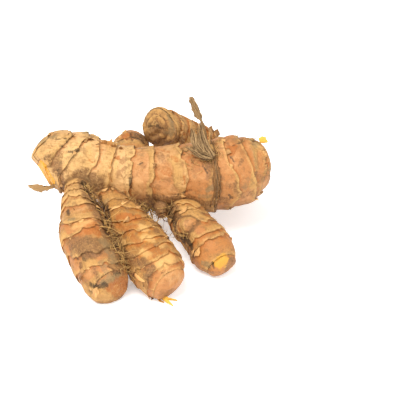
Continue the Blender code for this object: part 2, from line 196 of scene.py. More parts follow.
# Marks on the skin by branch and kind: (half width in mm, strength, place, angle, place, angle, ...)
# along its middle
marks = {
    "main": {
        "brown": [(0.6, 0.7, 75.4, 267, 76.6, 286), (0.5, 0.7, 79.0, 279, 76.9, 292),
            (1.4, 0.7, 65.1, 276, 65.5, 300, 64.8, 321), (1.5, 0.9, 43.9, 7, 49.0, 9, 53.2, 3),
            (1.1, 0.6, 12.8, 330, 15.6, 361), (1.1, 0.6, 8.8, 313, 9.2, 331),
            (1.5, 0.5, 29.6, 347, 32.1, 363), (0.8, 0.6, 84.4, 5, 86.2, 0),
            (2.9, 0.8, 18.3, 340, 21.4, 342, 25.3, 349), (2.3, 0.6, 19.2, 331, 24.0, 358, 27.0, 363),
            (1.9, 0.8, 11.4, 28, 14.4, 32, 27.7, 23), (0.8, 0.6, 10.0, 301, 10.4, 327, 10.5, 347),
            (1.3, 0.5, 47.8, 269, 48.4, 286), (1.0, 0.8, 65.0, 291, 64.5, 304),
            (0.7, 0.9, 67.4, 310, 66.9, 342), (0.6, 0.8, 77.7, 313, 79.5, 304),
            (0.5, 0.9, 74.7, 337, 73.2, 349), (1.2, 0.6, 83.5, 340, 84.9, 357),
            (1.5, 0.7, 58.2, 357, 63.8, 368, 69.8, 365), (1.1, 0.8, 43.9, 356, 48.9, 358, 54.7, 358),
            (1.3, 0.5, 72.9, 342, 75.0, 364, 79.0, 366), (1.5, 0.9, 9.8, 323, 11.4, 348, 12.9, 376)],
        "grey": [(1.1, 0.6, 21.1, 347, 24.7, 357), (1.0, 0.6, 61.6, 352, 66.8, 353),
            (0.8, 0.5, 11.0, 321, 14.1, 302), (1.1, 0.8, 1.6, 277, 5.4, 278, 8.5, 266),
            (0.8, 0.9, 15.1, 230, 17.7, 230), (0.5, 0.8, 9.0, 230, 9.9, 242),
            (0.8, 0.7, 37.6, 230, 39.2, 248), (0.7, 0.5, 37.9, 268, 40.4, 277),
            (0.6, 0.5, 54.4, 262, 59.2, 260), (1.1, 0.9, 64.3, 341, 66.3, 337),
            (1.3, 0.7, 85.2, 243, 87.4, 246, 87.4, 275), (0.8, 0.5, 85.3, 293, 84.6, 330),
            (1.0, 0.5, 79.8, 341, 77.4, 355)],
        "rust": [(0.8, 0.6, 51.7, 281, 53.7, 289), (0.6, 0.5, 34.8, 351, 36.0, 360),
            (0.3, 0.9, 21.3, 275, 23.6, 274), (0.7, 0.7, 19.4, 306, 20.6, 309),
            (0.8, 0.9, 28.2, 284, 30.4, 284), (0.3, 0.8, 27.8, 293, 27.9, 310),
            (0.4, 0.6, 27.8, 323, 30.0, 337), (0.5, 0.6, 46.0, 301, 46.3, 322),
            (0.6, 0.7, 56.0, 317, 56.4, 331), (0.5, 0.5, 46.3, 248, 50.5, 269),
            (0.8, 0.7, 57.3, 287, 61.0, 279), (1.3, 0.9, 75.2, 276, 76.6, 288, 78.7, 276)],
        "cream": [(1.3, 0.6, 26.6, 270, 29.8, 308, 29.5, 343),
            (1.1, 0.5, 18.2, 280, 19.5, 302, 19.3, 323)],
        "tan": [(1.9, 0.9, 4.6, 298, 6.1, 315), (1.0, 0.8, 34.2, 266, 34.2, 304, 33.6, 333),
            (1.1, 0.7, 24.8, 288, 25.2, 314), (1.1, 0.7, 26.4, 326, 29.0, 348),
            (3.1, 0.6, 14.8, 313, 17.2, 334, 17.6, 354), (1.3, 0.7, 44.8, 265, 44.4, 306, 43.5, 343),
            (1.4, 0.8, 52.3, 288, 53.6, 306, 52.6, 332), (1.1, 0.8, 55.9, 269, 60.2, 266, 62.8, 271),
            (1.0, 0.7, 70.4, 252, 72.7, 263), (1.0, 0.6, 77.4, 313, 75.4, 345),
            (1.1, 0.7, 85.8, 281, 84.2, 329, 80.5, 355)],
        "dark": [(0.7, 0.5, 10.3, 335, 11.5, 365), (0.6, 0.9, 12.1, 298, 13.5, 298, 15.1, 292),
            (0.5, 0.9, 10.4, 289, 10.6, 289), (0.3, 0.9, 9.2, 275, 10.4, 271, 11.1, 278),
            (0.3, 0.7, 3.9, 278, 5.8, 266), (0.6, 0.5, 8.0, 305, 7.8, 312),
            (0.3, 0.9, 15.8, 232, 18.8, 230), (0.5, 0.9, 39.0, 295, 40.5, 291),
            (0.5, 0.9, 36.6, 324, 36.8, 336, 37.4, 347), (0.3, 0.8, 36.6, 308, 36.7, 320),
            (0.5, 0.8, 55.6, 348, 58.5, 341), (0.3, 0.9, 64.0, 285, 63.2, 300, 64.4, 312),
            (0.3, 0.7, 70.4, 250, 73.9, 259), (0.3, 0.9, 77.7, 274, 81.4, 270),
            (0.5, 0.9, 75.8, 296, 76.5, 304), (0.5, 0.8, 71.2, 356, 72.0, 364),
            (0.3, 0.7, 84.1, 228, 85.2, 243), (0.3, 0.8, 45.4, 352, 54.6, 351)],
        "pink": [(1.5, 0.8, 10.9, 251, 12.1, 229, 12.9, 261), (1.7, 0.6, 8.8, 299, 9.8, 283, 11.1, 292),
            (1.9, 0.8, 14.6, 271, 17.1, 272), (1.9, 0.9, 21.2, 262, 22.4, 284, 22.8, 309),
            (2.5, 0.9, 29.1, 265, 32.5, 301, 32.4, 330, 30.9, 354),
            (2.7, 0.9, 40.5, 287, 41.1, 316, 39.9, 352), (2.3, 0.8, 47.8, 329, 50.4, 341),
            (3.3, 1.0, 60.2, 294, 61.2, 316, 59.8, 344), (2.7, 1.0, 71.1, 293, 71.4, 324, 68.6, 344),
            (1.3, 0.9, 70.2, 267, 72.1, 279), (1.9, 0.9, 81.8, 286, 80.8, 313, 78.3, 335),
            (1.5, 0.8, 88.2, 305, 87.2, 331)],
        "scar": [(1.9, 0.8, 49.2, 306, 49.4, 308)],
    },
    "frontLeft": {
        "cream": [(1.5, 0.6, 31.0, 317, 30.8, 286), (1.1, 0.6, 19.7, 316, 19.6, 280)],
        "tan": [(2.3, 1.0, 12.8, 312, 10.9, 288, 14.8, 272), (1.5, 0.8, 41.9, 330, 43.1, 317),
            (1.3, 0.7, 50.3, 7, 54.2, -18, 54.6, -82), (1.7, 0.8, 49.7, 31, 54.7, 24, 55.3, 170)],
        "brown": [(1.3, 0.8, 16.1, 257, 19.7, 245), (2.9, 0.9, 35.4, 339, 38.5, 316, 39.1, 292),
            (1.7, 0.9, 39.4, 329, 41.0, 308, 40.3, 279), (0.6, 0.8, 41.3, 340, 43.4, 353),
            (1.0, 0.7, 46.7, 319, 50.4, 324), (0.8, 0.8, 54.6, 137, 54.5, 156),
            (1.1, 0.8, 29.5, 261, 35.4, 263, 38.6, 262), (1.9, 0.8, 40.7, 270, 47.9, 271, 52.6, 273),
            (1.0, 0.7, 51.2, 337, 54.1, 302, 54.0, 260)],
        "pink": [(1.5, 0.9, 31.2, 332, 31.3, 298, 28.7, 266), (1.5, 0.7, 35.8, 359, 39.7, 361, 42.4, 357),
            (1.7, 0.8, 46.0, 352, 47.4, 329), (1.2, 1.0, 48.2, 304, 50.4, 295),
            (0.7, 0.7, 54.5, 305, 54.2, 278)],
        "rust": [(0.8, 0.5, 26.0, 291, 24.5, 270), (1.9, 0.8, 33.8, 296, 32.8, 274, 35.4, 276),
            (1.5, 0.7, 55.0, 315, 54.7, 256, 54.7, 186)],
        "dark": [(0.6, 0.9, 22.0, 336, 25.4, 328), (0.6, 0.8, 22.2, 21, 22.2, 1),
            (0.4, 0.9, 38.8, 353, 40.2, 343), (0.5, 0.9, 41.0, 333, 41.5, 328),
            (0.7, 0.9, 49.6, 355, 52.6, 336, 53.4, 317), (0.5, 0.7, 52.0, 288, 52.1, 258),
            (0.8, 0.9, 42.7, 38, 43.3, 40), (0.5, 0.9, 50.0, 14, 51.2, 10)],
        "grey": [(0.7, 1.0, 27.8, 326, 28.2, 317), (1.7, 0.7, 38.5, 272, 42.4, 271, 48.6, 270),
            (1.1, 0.9, 52.6, 323, 53.2, 294, 53.0, 267), (1.1, 0.6, 46.0, 301, 52.3, 295)],
    },
    "frontMiddle": {
        "rust": [(1.3, 0.7, 24.8, 298, 29.2, 281, 31.1, 257), (1.0, 0.6, 47.0, 271, 48.1, 247, 47.5, 224),
            (1.7, 0.9, 22.9, 275, 25.8, 258, 26.4, 239), (1.5, 0.6, 34.3, 277, 38.9, 274),
            (1.7, 0.6, 42.1, 260, 46.0, 251)],
        "brown": [(1.0, 0.5, 29.8, 291, 31.8, 270), (1.5, 0.6, 15.6, 226, 17.5, 203),
            (1.1, 0.7, 29.6, 210, 36.8, 222), (2.3, 0.8, 30.2, 334, 38.6, 318, 42.8, 305),
            (1.7, 0.8, 45.7, 289, 49.2, 287), (1.1, 0.8, 50.3, 295, 50.2, 280),
            (1.0, 0.5, 48.7, 190, 51.2, 158), (1.8, 0.8, 27.6, 314, 35.6, 318, 42.2, 324),
            (1.0, 0.6, 50.5, 299, 50.5, 321)],
        "tan": [(1.7, 1.0, 11.3, 292, 11.9, 260, 14.5, 241), (1.3, 0.7, 25.0, 216, 26.6, 202),
            (1.1, 0.8, 44.2, 313, 46.6, 311), (1.3, 0.6, 56.4, 318, 56.6, 233, 56.2, 179),
            (1.5, 0.7, 38.3, 187, 44.0, 191)],
        "grey": [(1.0, 0.6, 10.2, 278, 11.8, 308), (1.0, 0.5, 25.7, 318, 29.9, 330)],
        "dark": [(0.8, 1.0, 12.4, 291, 16.2, 298, 20.4, 302)],
        "cream": [(1.5, 0.9, 31.7, 248, 33.4, 239), (1.5, 1.0, 37.1, 252, 40.0, 245),
            (1.0, 0.9, 31.3, 312, 34.0, 302), (1.5, 0.9, 43.0, 276, 45.8, 269),
            (1.1, 0.7, 45.4, 233, 44.2, 218), (1.5, 1.0, 50.8, 260, 50.8, 244, 50.3, 228)],
        "pink": [(3.1, 1.0, 54.2, 285, 54.4, 256, 54.2, 227)],
    },
    "frontRight": {
        "brown": [(1.1, 0.8, 8.6, 323, 12.8, 303), (1.1, 0.8, 15.8, 311, 19.9, 306),
            (1.0, 0.8, 22.0, 317, 25.3, 323), (1.5, 0.8, 40.6, 263, 41.5, 193),
            (1.0, 0.6, 37.7, 11, 40.8, -6)],
        "tan": [(1.5, 0.9, 13.7, 294, 15.7, 270, 18.7, 258), (1.3, 0.7, 19.6, 280, 20.8, 262)],
        "pink": [(1.7, 0.8, 26.5, 288, 29.8, 288), (1.9, 1.0, 32.6, 329, 33.5, 303, 34.6, 288)],
        "dark": [(1.2, 0.9, 24.5, 336, 28.4, 337), (0.4, 0.9, 30.7, 347, 31.4, 329),
            (0.5, 0.9, 38.6, 321, 40.3, 331)],
        "grey": [(1.1, 0.8, 36.6, 340, 38.6, 337)],
        "yellow": [(1.8, 1.0, 39.8, 309, 39.7, 278)],
    },
    # these brown and dark marks are partly stains and partly painted shade on its lower right side
    "backRight": {
        "brown": [(1.3, 0.9, 75.0, 177, 65.3, 166), (0.4, 0.8, 69.0, 251, 66.5, 225, 64.0, 202),
            (0.3, 0.8, 68.8, 273, 69.1, 228, 66.5, 192), (1.1, 0.7, 79.4, 211, 78.7, 182),
            (1.0, 0.8, 79.1, 92, 78.6, 127), (1.1, 0.7, 80.5, 174, 79.7, 191),
            (1.0, 0.9, 79.1, 142, 75.6, 161)],
        "grey": [(1.0, 0.5, 78.8, 349, 78.1, 325), (1.1, 0.9, 76.9, 243, 77.4, 210, 77.9, 186),
            (0.6, 0.7, 66.5, 278, 66.4, 250)],
        "dark": [(0.2, 0.8, 80.0, 282, 79.4, 263, 79.0, 239), (0.2, 0.8, 80.5, 279, 80.4, 190, 79.7, 201),
            (0.3, 0.8, 80.5, 356, 80.5, 392)],
        "scar": [(2.1, 0.3, 80.0, 238, 79.9, 233)],
        "tan": [(1.3, 0.9, 79.3, 315, 78.2, 279, 76.1, 258), (1.5, 0.8, 59.6, 241, 56.3, 221)],
        "rust": [(0.7, 0.9, 68.6, 208, 66.2, 189), (0.8, 0.9, 63.2, 204, 61.3, 189)],
    },
    "backLeft": {
        "rust": [(1.5, 0.9, 18.8, 130, 18.0, 161), (1.1, 0.6, 17.9, 125, 15.8, 153)],
        "brown": [(2.7, 1.0, 18.5, 182, 17.6, 212)],
        "dark": [(1.1, 0.6, 20.5, 191, 17.4, 217), (0.5, 0.8, 18.8, 169, 12.6, 176),
            (0.5, 0.9, 15.4, 119, 17.0, 235)],
        "tan": [(0.8, 0.8, 25.0, 114, 22.1, 122)],
    },
    # painted shade: the bud under the main is browned all over and darkened in its hollow
    "budUnder": {
        "brown": [(7.0, 0.9, 1.0, 0, 11.0, 0)],
        "dark": [(1.5, 0.7, 9.0, 200, 11.0, 200)],
    },
}

# Painted shade in the hollows between the fingers and under the main, written the same way
hollowShade = {
    "frontLeft": {
        "dark": [(2.2, 0.75, 8.0, 252, 16.0, 243, 28.0, 236, 46.0, 238)],
        "brown": [(3.0, 0.8, 8.0, 262, 20.0, 256, 34.0, 252, 50.0, 256)],
    },
    "frontMiddle": {
        "dark": [(1.8, 0.8, 8.0, 318, 18.0, 326, 30.0, 340, 40.0, 344)],
        "brown": [(2.6, 0.8, 14.0, 308, 28.0, 322, 44.0, 334),
            (2.4, 0.8, 16.0, 205, 30.0, 190, 40.0, 186)],
    },
    "frontRight": {
        "dark": [(1.6, 0.8, 6.0, 322, 14.0, 334, 24.0, 350)],
        "brown": [(2.4, 0.7, 10.0, 322, 20.0, 336, 30.0, 352)],
    },
    "main": {
        "brown": [(3.6, 0.8, 16.0, 412, 30.0, 404, 46.0, 408, 66.0, 412)],
        "dark": [(3.0, 0.7, 20.0, 428, 40.0, 424, 58.0, 430)],
    },
}


# Random relief

def valueNoise(points, size, seed):
    # random values on the corners of a lattice of this size, blended with a smooth step, from -1 to 1
    table = np.random.default_rng(seed).uniform(-1.0, 1.0, (32, 32, 32))
    spot = points / size + 512.0
    cell = np.floor(spot).astype(np.int64)
    part = spot - cell
    part = part * part * (3.0 - 2.0 * part)
    total = np.zeros(points.shape[:-1])
    for corner in np.ndindex(2, 2, 2):
        pick = np.array(corner)
        weight = np.prod(np.where(pick == 1, part, 1.0 - part), axis=-1)
        index = (cell + pick) % 32
        total += weight * table[index[..., 0], index[..., 1], index[..., 2]]
    return total


turn = np.array([[0.36, 0.48, -0.80], [-0.80, 0.60, 0.0], [0.48, 0.64, 0.60]])


def fractal(points, size, seed, octaves=3):
    # value noise at this size plus turned copies, each half as large and half as strong
    total = np.zeros(points.shape[:-1])
    spot = points
    for octave in range(octaves):
        total += valueNoise(spot, size / 2.0 ** octave, seed + octave) / 2.0 ** octave
        spot = spot @ turn
    return total


def smooth(low, high, value):
    share = np.clip((value - low) / (high - low), 0.0, 1.0)
    return share * share * (3.0 - 2.0 * share)


# Paths and their frames

def smoothPath(points, perSpan=24):
    # Catmull-Rom curve: each span blends its two stations and their neighbours by cubic weights
    rows = np.array(points, dtype=float)
    ends = np.vstack([2.0 * rows[0] - rows[1], rows, 2.0 * rows[-1] - rows[-2]])
    t = np.linspace(0.0, 1.0, perSpan, endpoint=False)[:, None]
    spans = []
    for before, start, end, after in zip(ends, ends[1:], ends[2:], ends[3:]):
        spans.append(0.5 * (2.0 * start + (end - before) * t
                            + (2.0 * before - 5.0 * start + 4.0 * end - after) * t ** 2
                            + (3.0 * start - before - 3.0 * end + after) * t ** 3))
    spans.append(rows[-1:])
    return np.vstack(spans)


class Path:
    # a smooth line with a radius, walked by distance, with two directions across it at every place
    def __init__(self, branch):
        self.line = smoothPath(branch["stations"])
        steps = np.diff(self.line[:, :3], axis=0)
        sizes = np.linalg.norm(steps, axis=1)
        self.walked = np.concatenate([[0.0], np.cumsum(sizes)])
        self.length = self.walked[-1]
        along = np.vstack([steps / sizes[:, None], steps[-1:] / sizes[-1]])
        self.along = along
        # the direction that the path runs along least gives steady directions across it
        level = np.linalg.svd(along, full_matrices=False)[2][-1]
        level = level if level[np.argmax(np.abs(level))] > 0.0 else -level
        across = np.cross(along, np.array(branch.get("level", level)))
        self.across = across / np.linalg.norm(across, axis=1)[:, None]
        self.other = np.cross(along, self.across)

    def pick(self, values, places):
        return np.stack([np.interp(places, self.walked, values[:, axis])
                         for axis in range(values.shape[1])], axis=-1)

    def walk(self, places):
        # centre, radius and the two directions across; past an end the line runs on straight
        inside = np.clip(places, 0.0, self.length)
        rows = self.pick(self.line, inside)
        along = self.pick(self.along, inside)
        middle = rows[..., :3] + (places - inside)[..., None] * along
        return middle, rows[..., 3], self.pick(self.across, inside), self.pick(self.other, inside)


def bendPoints(points):
    # the same seeded sums of sine waves as the CAD model's, then the move to the centre
    rng = np.random.default_rng(bend["seed"])
    moved = points.copy()
    for count, length, height in bend["sets"]:
        heading = rng.normal(size=(count, 3))
        heading /= np.linalg.norm(heading, axis=1)[:, None]
        vectors = heading * (2.0 * math.pi / (length * rng.uniform(0.75, 1.35, count)))[:, None]
        phases = rng.uniform(0.0, 2.0 * math.pi, count)
        pushes = rng.normal(size=(count, 3))
        moved += height * np.sin(points @ vectors.T + phases) @ pushes
    return moved - centre


# Meshes

def gridMesh(name, points, values):
    # a tube over rows and columns of points, round in its columns; its ends are closed by one point each
    rows, columns = points.shape[:2]
    row = np.arange(rows - 1)[:, None] * columns
    left = np.arange(columns)[None, :]
    right = (left + 1) % columns
    quads = np.stack([row + left, row + right, row + columns + right, row + columns + left], axis=-1)
    quads = quads.reshape(-1, 4)
    first = rows * columns
    last = first - columns
    ring = np.arange(columns)
    after = (ring + 1) % columns
    low = np.stack([after, ring, np.full(columns, first)], axis=-1)
    high = np.stack([last + ring, last + after, np.full(columns, first + 1)], axis=-1)
    loops = np.concatenate([quads.ravel(), low.ravel(), high.ravel()])
    sizes = np.concatenate([np.full(len(quads), 4), np.full(2 * columns, 3)])
    corners = np.vstack([points.reshape(-1, 3), points[0].mean(axis=0), points[-1].mean(axis=0)])
    fields = {key: value.reshape(first, -1) for key, value in values.items()}
    fields = {key: np.vstack([value, value[:columns].mean(axis=0), value[last:].mean(axis=0)])
              for key, value in fields.items()}
    return fillMesh(name, corners, loops, sizes, fields)


def fillMesh(name, corners, loops, sizes, fields):
    mesh = bpy.data.meshes.new(name)
    mesh.vertices.add(len(corners))
    mesh.vertices.foreach_set("co", (corners * mm).astype(np.float32).ravel())
    mesh.loops.add(len(loops))
    mesh.loops.foreach_set("vertex_index", loops.astype(np.int32))
    mesh.polygons.add(len(sizes))
    starts = np.concatenate([[0], np.cumsum(sizes)[:-1]])
    mesh.polygons.foreach_set("loop_start", starts.astype(np.int32))
    mesh.polygons.foreach_set("use_smooth", np.ones(len(sizes), dtype=bool))
    mesh.update(calc_edges=True)
    for key, value in fields.items():
        writeField(mesh, key, value)
    mesh.validate()
    return mesh


def writeField(mesh, key, value):
    wide = value.shape[1] == 3
    if key not in mesh.attributes:
        mesh.attributes.new(key, "FLOAT_VECTOR" if wide else "FLOAT", "POINT")
    flat = value.astype(np.float32).ravel()
    mesh.attributes[key].data.foreach_set("vector" if wide else "value", flat)


def addObject(name, mesh):
    piece = bpy.data.objects.new(name, mesh)
    bpy.context.scene.collection.objects.link(piece)
    return piece


def readPoints(mesh):
    flat = np.empty(len(mesh.vertices) * 3, dtype=np.float32)
    mesh.vertices.foreach_get("co", flat)
    return flat.reshape(-1, 3).astype(float)


def readField(mesh, key, width):
    flat = np.empty(len(mesh.vertices) * width, dtype=np.float32)
    mesh.attributes[key].data.foreach_get("vector" if width == 3 else "value", flat)
    return flat.reshape(-1, width).astype(float)


# The rhizome

def edgeLine(default, controls, degrees):
    # a scale's edge round the branch: straight between its drawn places, and its default far from them
    if not controls:
        return default + 0.0 * degrees
    spots = np.array(controls, dtype=float)
    opposite = (spots[0, 0] + spots[-1, 0] + 360.0) / 2.0
    turns = np.append(spots[:, 0], opposite)
    places = np.append(spots[:, 1], default)
    return np.interp(degrees, turns % 360.0, places, period=360.0)


def scaleEdges(branch, angle):
    # places of all scale edges at these angles, with their lobes, jags and torn bites, and their rims
    seed = branch["seed"]
    rings = branch["rings"]
    rng = np.random.default_rng(seed)
    size = float(np.median(np.array(branch["stations"])[:, 3]))
    circle = np.stack([np.cos(angle) * size, np.sin(angle) * size, np.zeros(len(angle))], axis=-1)
    edges = []
    rims = []
    for index, ring in enumerate(rings):
        spot = circle + [0.0, 0.0, 31.0 * index]
        line = edgeLine(ring, branch["edges"].get(index), np.degrees(angle))
        inner = 0 < index < len(rings) - 1
        loose = min(1.0, (ring - rings[index - 1]) / 6.0) if inner else 0.0
        wander = skin["lobes"] * fractal(spot, 5.0, seed + 100)
        wander = wander + skin["jag"] * fractal(spot, 1.2, seed + 200)
        wander = wander + skin["tilt"] * np.cos(angle - rng.uniform(0.0, 2.0 * math.pi))
        wander = wander - skin["bite"] * smooth(0.35, 0.7, fractal(spot, 2.4, seed + 600, 2))
        line = line + loose * wander
        if edges:
            line = np.maximum(line, edges[-1] + skin["leastGap"])
        edges.append(line)
        worn = smooth(-0.8, 0.6, fractal(spot, 5.0, seed + 300, 2))
        rim = branch.get("rim", skin["plainRim"]) * (0.1 + 1.4 * worn)
        rims.append(rim if inner else 0.0 * rim)
    return np.array(edges), np.array(rims)


def markFields(name, places, degrees, radius, core, seed):
    # each mark is strongest along its middle line and ends in a ragged border; (kind -> strength)
    rough = 0.5 * fractal(core, 2.2, seed + 700, 2) + 0.5 * fractal(core, 0.9, seed + 710, 1)
    fields = {kind: np.zeros(places.shape) for kind in kinds}
    # the hollows' painted shade comes in as dark and brown marks, together with the real stains
    rows = [(kind, row) for group in (marks, hollowShade) for kind, listed in group.get(name, {}).items()
            for row in listed]
    for kind, (half, strength, *line) in rows:
        nearest = np.full(places.shape, 1e3)
        for place, turn, lastPlace, lastTurn in zip(line[0::2], line[1::2], line[2::2], line[3::2]):
            x = places - place
            y = np.radians((degrees - turn + 180.0) % 360.0 - 180.0) * radius
            runX = lastPlace - place
            runY = np.radians(lastTurn - turn) * radius
            share = np.clip((x * runX + y * runY) / (runX ** 2 + runY ** 2 + 1e-6), 0.0, 1.0)
            nearest = np.minimum(nearest, np.hypot(x - share * runX, y - share * runY))
        soft = max(0.3, (0.8 if kind in softKinds else 0.35) * half)
        value = strength * smooth(half + soft, half - soft, nearest + rough * (0.25 + 0.35 * half))
        fields[kind] = np.maximum(fields[kind], value)
    return fields


def branchMesh(name, branch):
    # rows along the branch and columns round it: each internode rises from under the last scale's
    # torn edge to its own, and the rows follow those edges
    path = Path(branch)
    seed = branch["seed"]
    rings = branch["rings"]
    rng = np.random.default_rng(seed + 5)
    angle = np.linspace(0.0, 2.0 * math.pi, branch["columns"], endpoint=False)
    size = float(np.median(path.line[:, 3]))
    edges, rims = scaleEdges(branch, angle)

    places = []
    heights = []
    cells = []
    for index in range(len(rings) - 1):
        low, high = edges[index], edges[index + 1]
        rim = rims[index + 1]
        count = max(6, int(round((rings[index + 1] - rings[index]) / skin["rowStep"])))
        tone = branch["tones"][index] + rng.uniform(-0.1, 0.1) + 0.0 * angle
        tucked = skin["overhang"] * np.clip(rims[index] / skin["rim"], 0.0, 1.0)
        strength = np.clip(rims[index] / skin["rim"], 0.0, 1.3)
        for share in np.linspace(0.0, 1.0, count) ** 0.9:
            place = low + share * (high - low)
            places.append(place - (tucked if share == 0.0 else 0.0))
            rise = skin["foot"] + (rim - skin["foot"]) * share ** 1.6
            heights.append(rise + skin["bulge"] * math.sin(math.pi * share))
            cells.append((place - low, high - place, strength, tone))
        places.append(high - skin["lip"])
        heights.append(rim - skin["undercut"] * np.clip(rim / skin["rim"], 0.0, 1.0))
        cells.append((0.0 * high, 0.0 * high, rim / skin["rim"], tone))
    startDome, endDome = branch["domes"]
    domeSteps = np.sin(np.linspace(0.0, 0.5, 3 + int(size * 1.6)) * math.pi)[1:]
    still = 0.0 * angle
    if startDome:
        for step in domeSteps:
            places.insert(0, rings[0] - startDome * step + still)
            heights.insert(0, skin["foot"] + still)
            cells.insert(0, (1.2 + startDome * step + still, 3.0 + still, still, branch["tones"][0] + still))
    for step in domeSteps:
        places.append(path.length + endDome * step + still)
        heights.append(rims[-1] * (1.0 - step) + still)
        cells.append((1.0 + endDome * step + still, 9.0 + still, still, branch["tones"][-1] + still))

    places = np.array(places)
    heights = np.array(heights)
    near, far, strength, tone = np.moveaxis(np.array(cells), 1, 0)
    middle, radius, across, other = path.walk(places)
    pastStart = np.clip(-places / max(startDome, 0.001), 0.0, 1.0) * (startDome > 0.0)
    pastEnd = np.clip((places - path.length) / max(endDome, 0.001), 0.0, 1.0)
    dome = np.sqrt(np.clip(1.0 - pastStart ** 2, 0.0, 1.0))
    dome = dome * np.sqrt(np.clip(1.0 - pastEnd ** 2, 0.0, 1.0))
    spokes = np.cos(angle)[None, :, None] * across + np.sin(angle)[None, :, None] * other
    core = middle + (radius * dome)[..., None] * spokes
    found = markFields(name, places, np.degrees(angle)[None, :], radius * dome, core, seed)

    # the skin swells in slow lumps and fine wrinkles, sinks at dark marks and scars and lifts at pale ones
    ridged = 1.0 - np.abs(fractal(core, 3.4, seed + 520, 2))
    lumps = skin["lump"] * fractal(core, 8.0, seed + 400, 2)
    lumps = lumps + skin["ripple"] * fractal(core, 2.2, seed + 500, 3)
    lumps = lumps - skin["crease"] * smooth(0.86, 1.0, ridged)
    for kind, rise in markRelief.items():
        lumps = lumps + rise * found[kind]
    lumps = lumps + 0.25 * np.sin(found["scar"] * 7.0)
    fold = 0.0 * lumps
    if branch.get("bud"):
        # leaf scales wound round the growing tip: spiral waves of the distance from its pole
        away = radius * dome + np.maximum(path.length - places, 0.0)
        wound = np.sin(away * 2.5 + angle[None, :] + 1.6 * fractal(core, 4.0, seed + 640, 2))
        fold = branch["bud"] * wound * smooth(15.0, 5.0, away) * smooth(0.2, 1.0, away)
        # painted shade: the troughs of the wound folds near the tip are browned
        crease = 0.9 * smooth(-0.35, -0.95, wound) * smooth(13.0, 6.0, away)
        found["brown"] = np.maximum(found["brown"], crease)
    reach = (radius + heights + lumps + fold) * dome
    axis = np.cross(across, other)
    blunt = (lumps + fold) * np.sqrt(1.0 - dome ** 2) * np.where(places < 0.0, -1.0, 1.0)
    points = middle + reach[..., None] * spokes + blunt[..., None] * axis
    internode = np.clip(np.searchsorted(rings, places, "right") - 1, 0, len(rings) - 2)
    cover = np.array(branch["cover"])[internode]
    cover = np.clip(cover + 0.9 * found["tan"] - 1.2 * found["pink"], -0.4, 1.4)
    # how much the skin faces down, which the material darkens as painted shade
    under = smooth(-0.05, -0.95, spokes[..., 2])
    grain = np.stack([np.cos(angle)[None, :] * radius, np.sin(angle)[None, :] * radius,
                      places + 200.0 * (seed % 7)], axis=-1)
    values = {
        "ringData": np.stack([near, far, strength], axis=-1),
        # dark, grey and brown marks; dark and brown also hold the painted shade of the hollows and the bud
        "stainsAndShade": np.stack([found["dark"], found["grey"], found["brown"]], axis=-1),
        "tints": np.stack([found["rust"], found["cream"], found["yellow"]], axis=-1),
        "extras": np.stack([under, tone, found["scar"]], axis=-1),
        "cover": cover[..., None], "grain": grain, "made": np.ones(points.shape[:2] + (1,)),
    }
    return gridMesh(name, bendPoints(points), values)


def union(piece, other):
    join = piece.modifiers.new("join", "BOOLEAN")
    join.operation = "UNION"
    join.solver = "MANIFOLD"
    join.object = other
    depsgraph = bpy.context.evaluated_depsgraph_get()
    mesh = bpy.data.meshes.new_from_object(piece.evaluated_get(depsgraph))
    piece.modifiers.remove(join)
    piece.data = mesh
    bpy.data.objects.remove(other, do_unlink=True)


def makeRhizome():
    piece = addObject("turmericRhizome", branchMesh("main", branches["main"]))
    for name, branch in branches.items():
        if name == "main":
            continue
        union(piece, addObject(name, branchMesh(name, branch)))
        print("joined", name, len(piece.data.vertices))
    return piece


def neighbours(mesh):
    flat = np.empty(len(mesh.edges) * 2, dtype=np.int32)
    mesh.edges.foreach_get("vertices", flat)
    return flat.reshape(-1, 2)


def averageRound(edges, values, weights):
    # the weighted mean of each point's neighbours, and how much weight they have
    total = np.zeros_like(values)
    amount = np.zeros(len(values))
    for one, other in ((0, 1), (1, 0)):
        np.add.at(total, edges[:, one], values[edges[:, other]] * weights[edges[:, other], None])
        np.add.at(amount, edges[:, one], weights[edges[:, other]])
    return total / np.maximum(amount, 1e-9)[:, None], amount


def softenJoins(piece):
    # the points that a join made take their values from their neighbours, and the crease is rounded
    mesh = piece.data
    edges = neighbours(mesh)
    made = readField(mesh, "made", 1)[:, 0]
    widths = {"ringData": 3, "stainsAndShade": 3, "tints": 3, "extras": 3, "cover": 1, "grain": 3}
    known = (made > 0.5).astype(float)
    values = {key: readField(mesh, key, width) for key, width in widths.items()}
    for _ in range(5):
        found = known < 0.5
        for key in widths:
            mean, amount = averageRound(edges, values[key], known)
            found = (known < 0.5) & (amount > 0.0)
            values[key][found] = mean[found]
        known[found] = 1.0
    # near: how close each point is to a join; it rounds the crease here, and the material darkens it as
    # painted shade
    near = 1.0 - made
    for _ in range(3):
        mean, _ = averageRound(edges, near[:, None], np.ones(len(near)))
        near = np.maximum(near, np.minimum(1.0, mean[:, 0] * 1.5))
    points = readPoints(mesh)
    for _ in range(5):
        mean, _ = averageRound(edges, points, np.ones(len(points)))
        points += (mean - points) * (0.5 * np.clip(near, 0.0, 1.0))[:, None]
    return points / mm, values, near


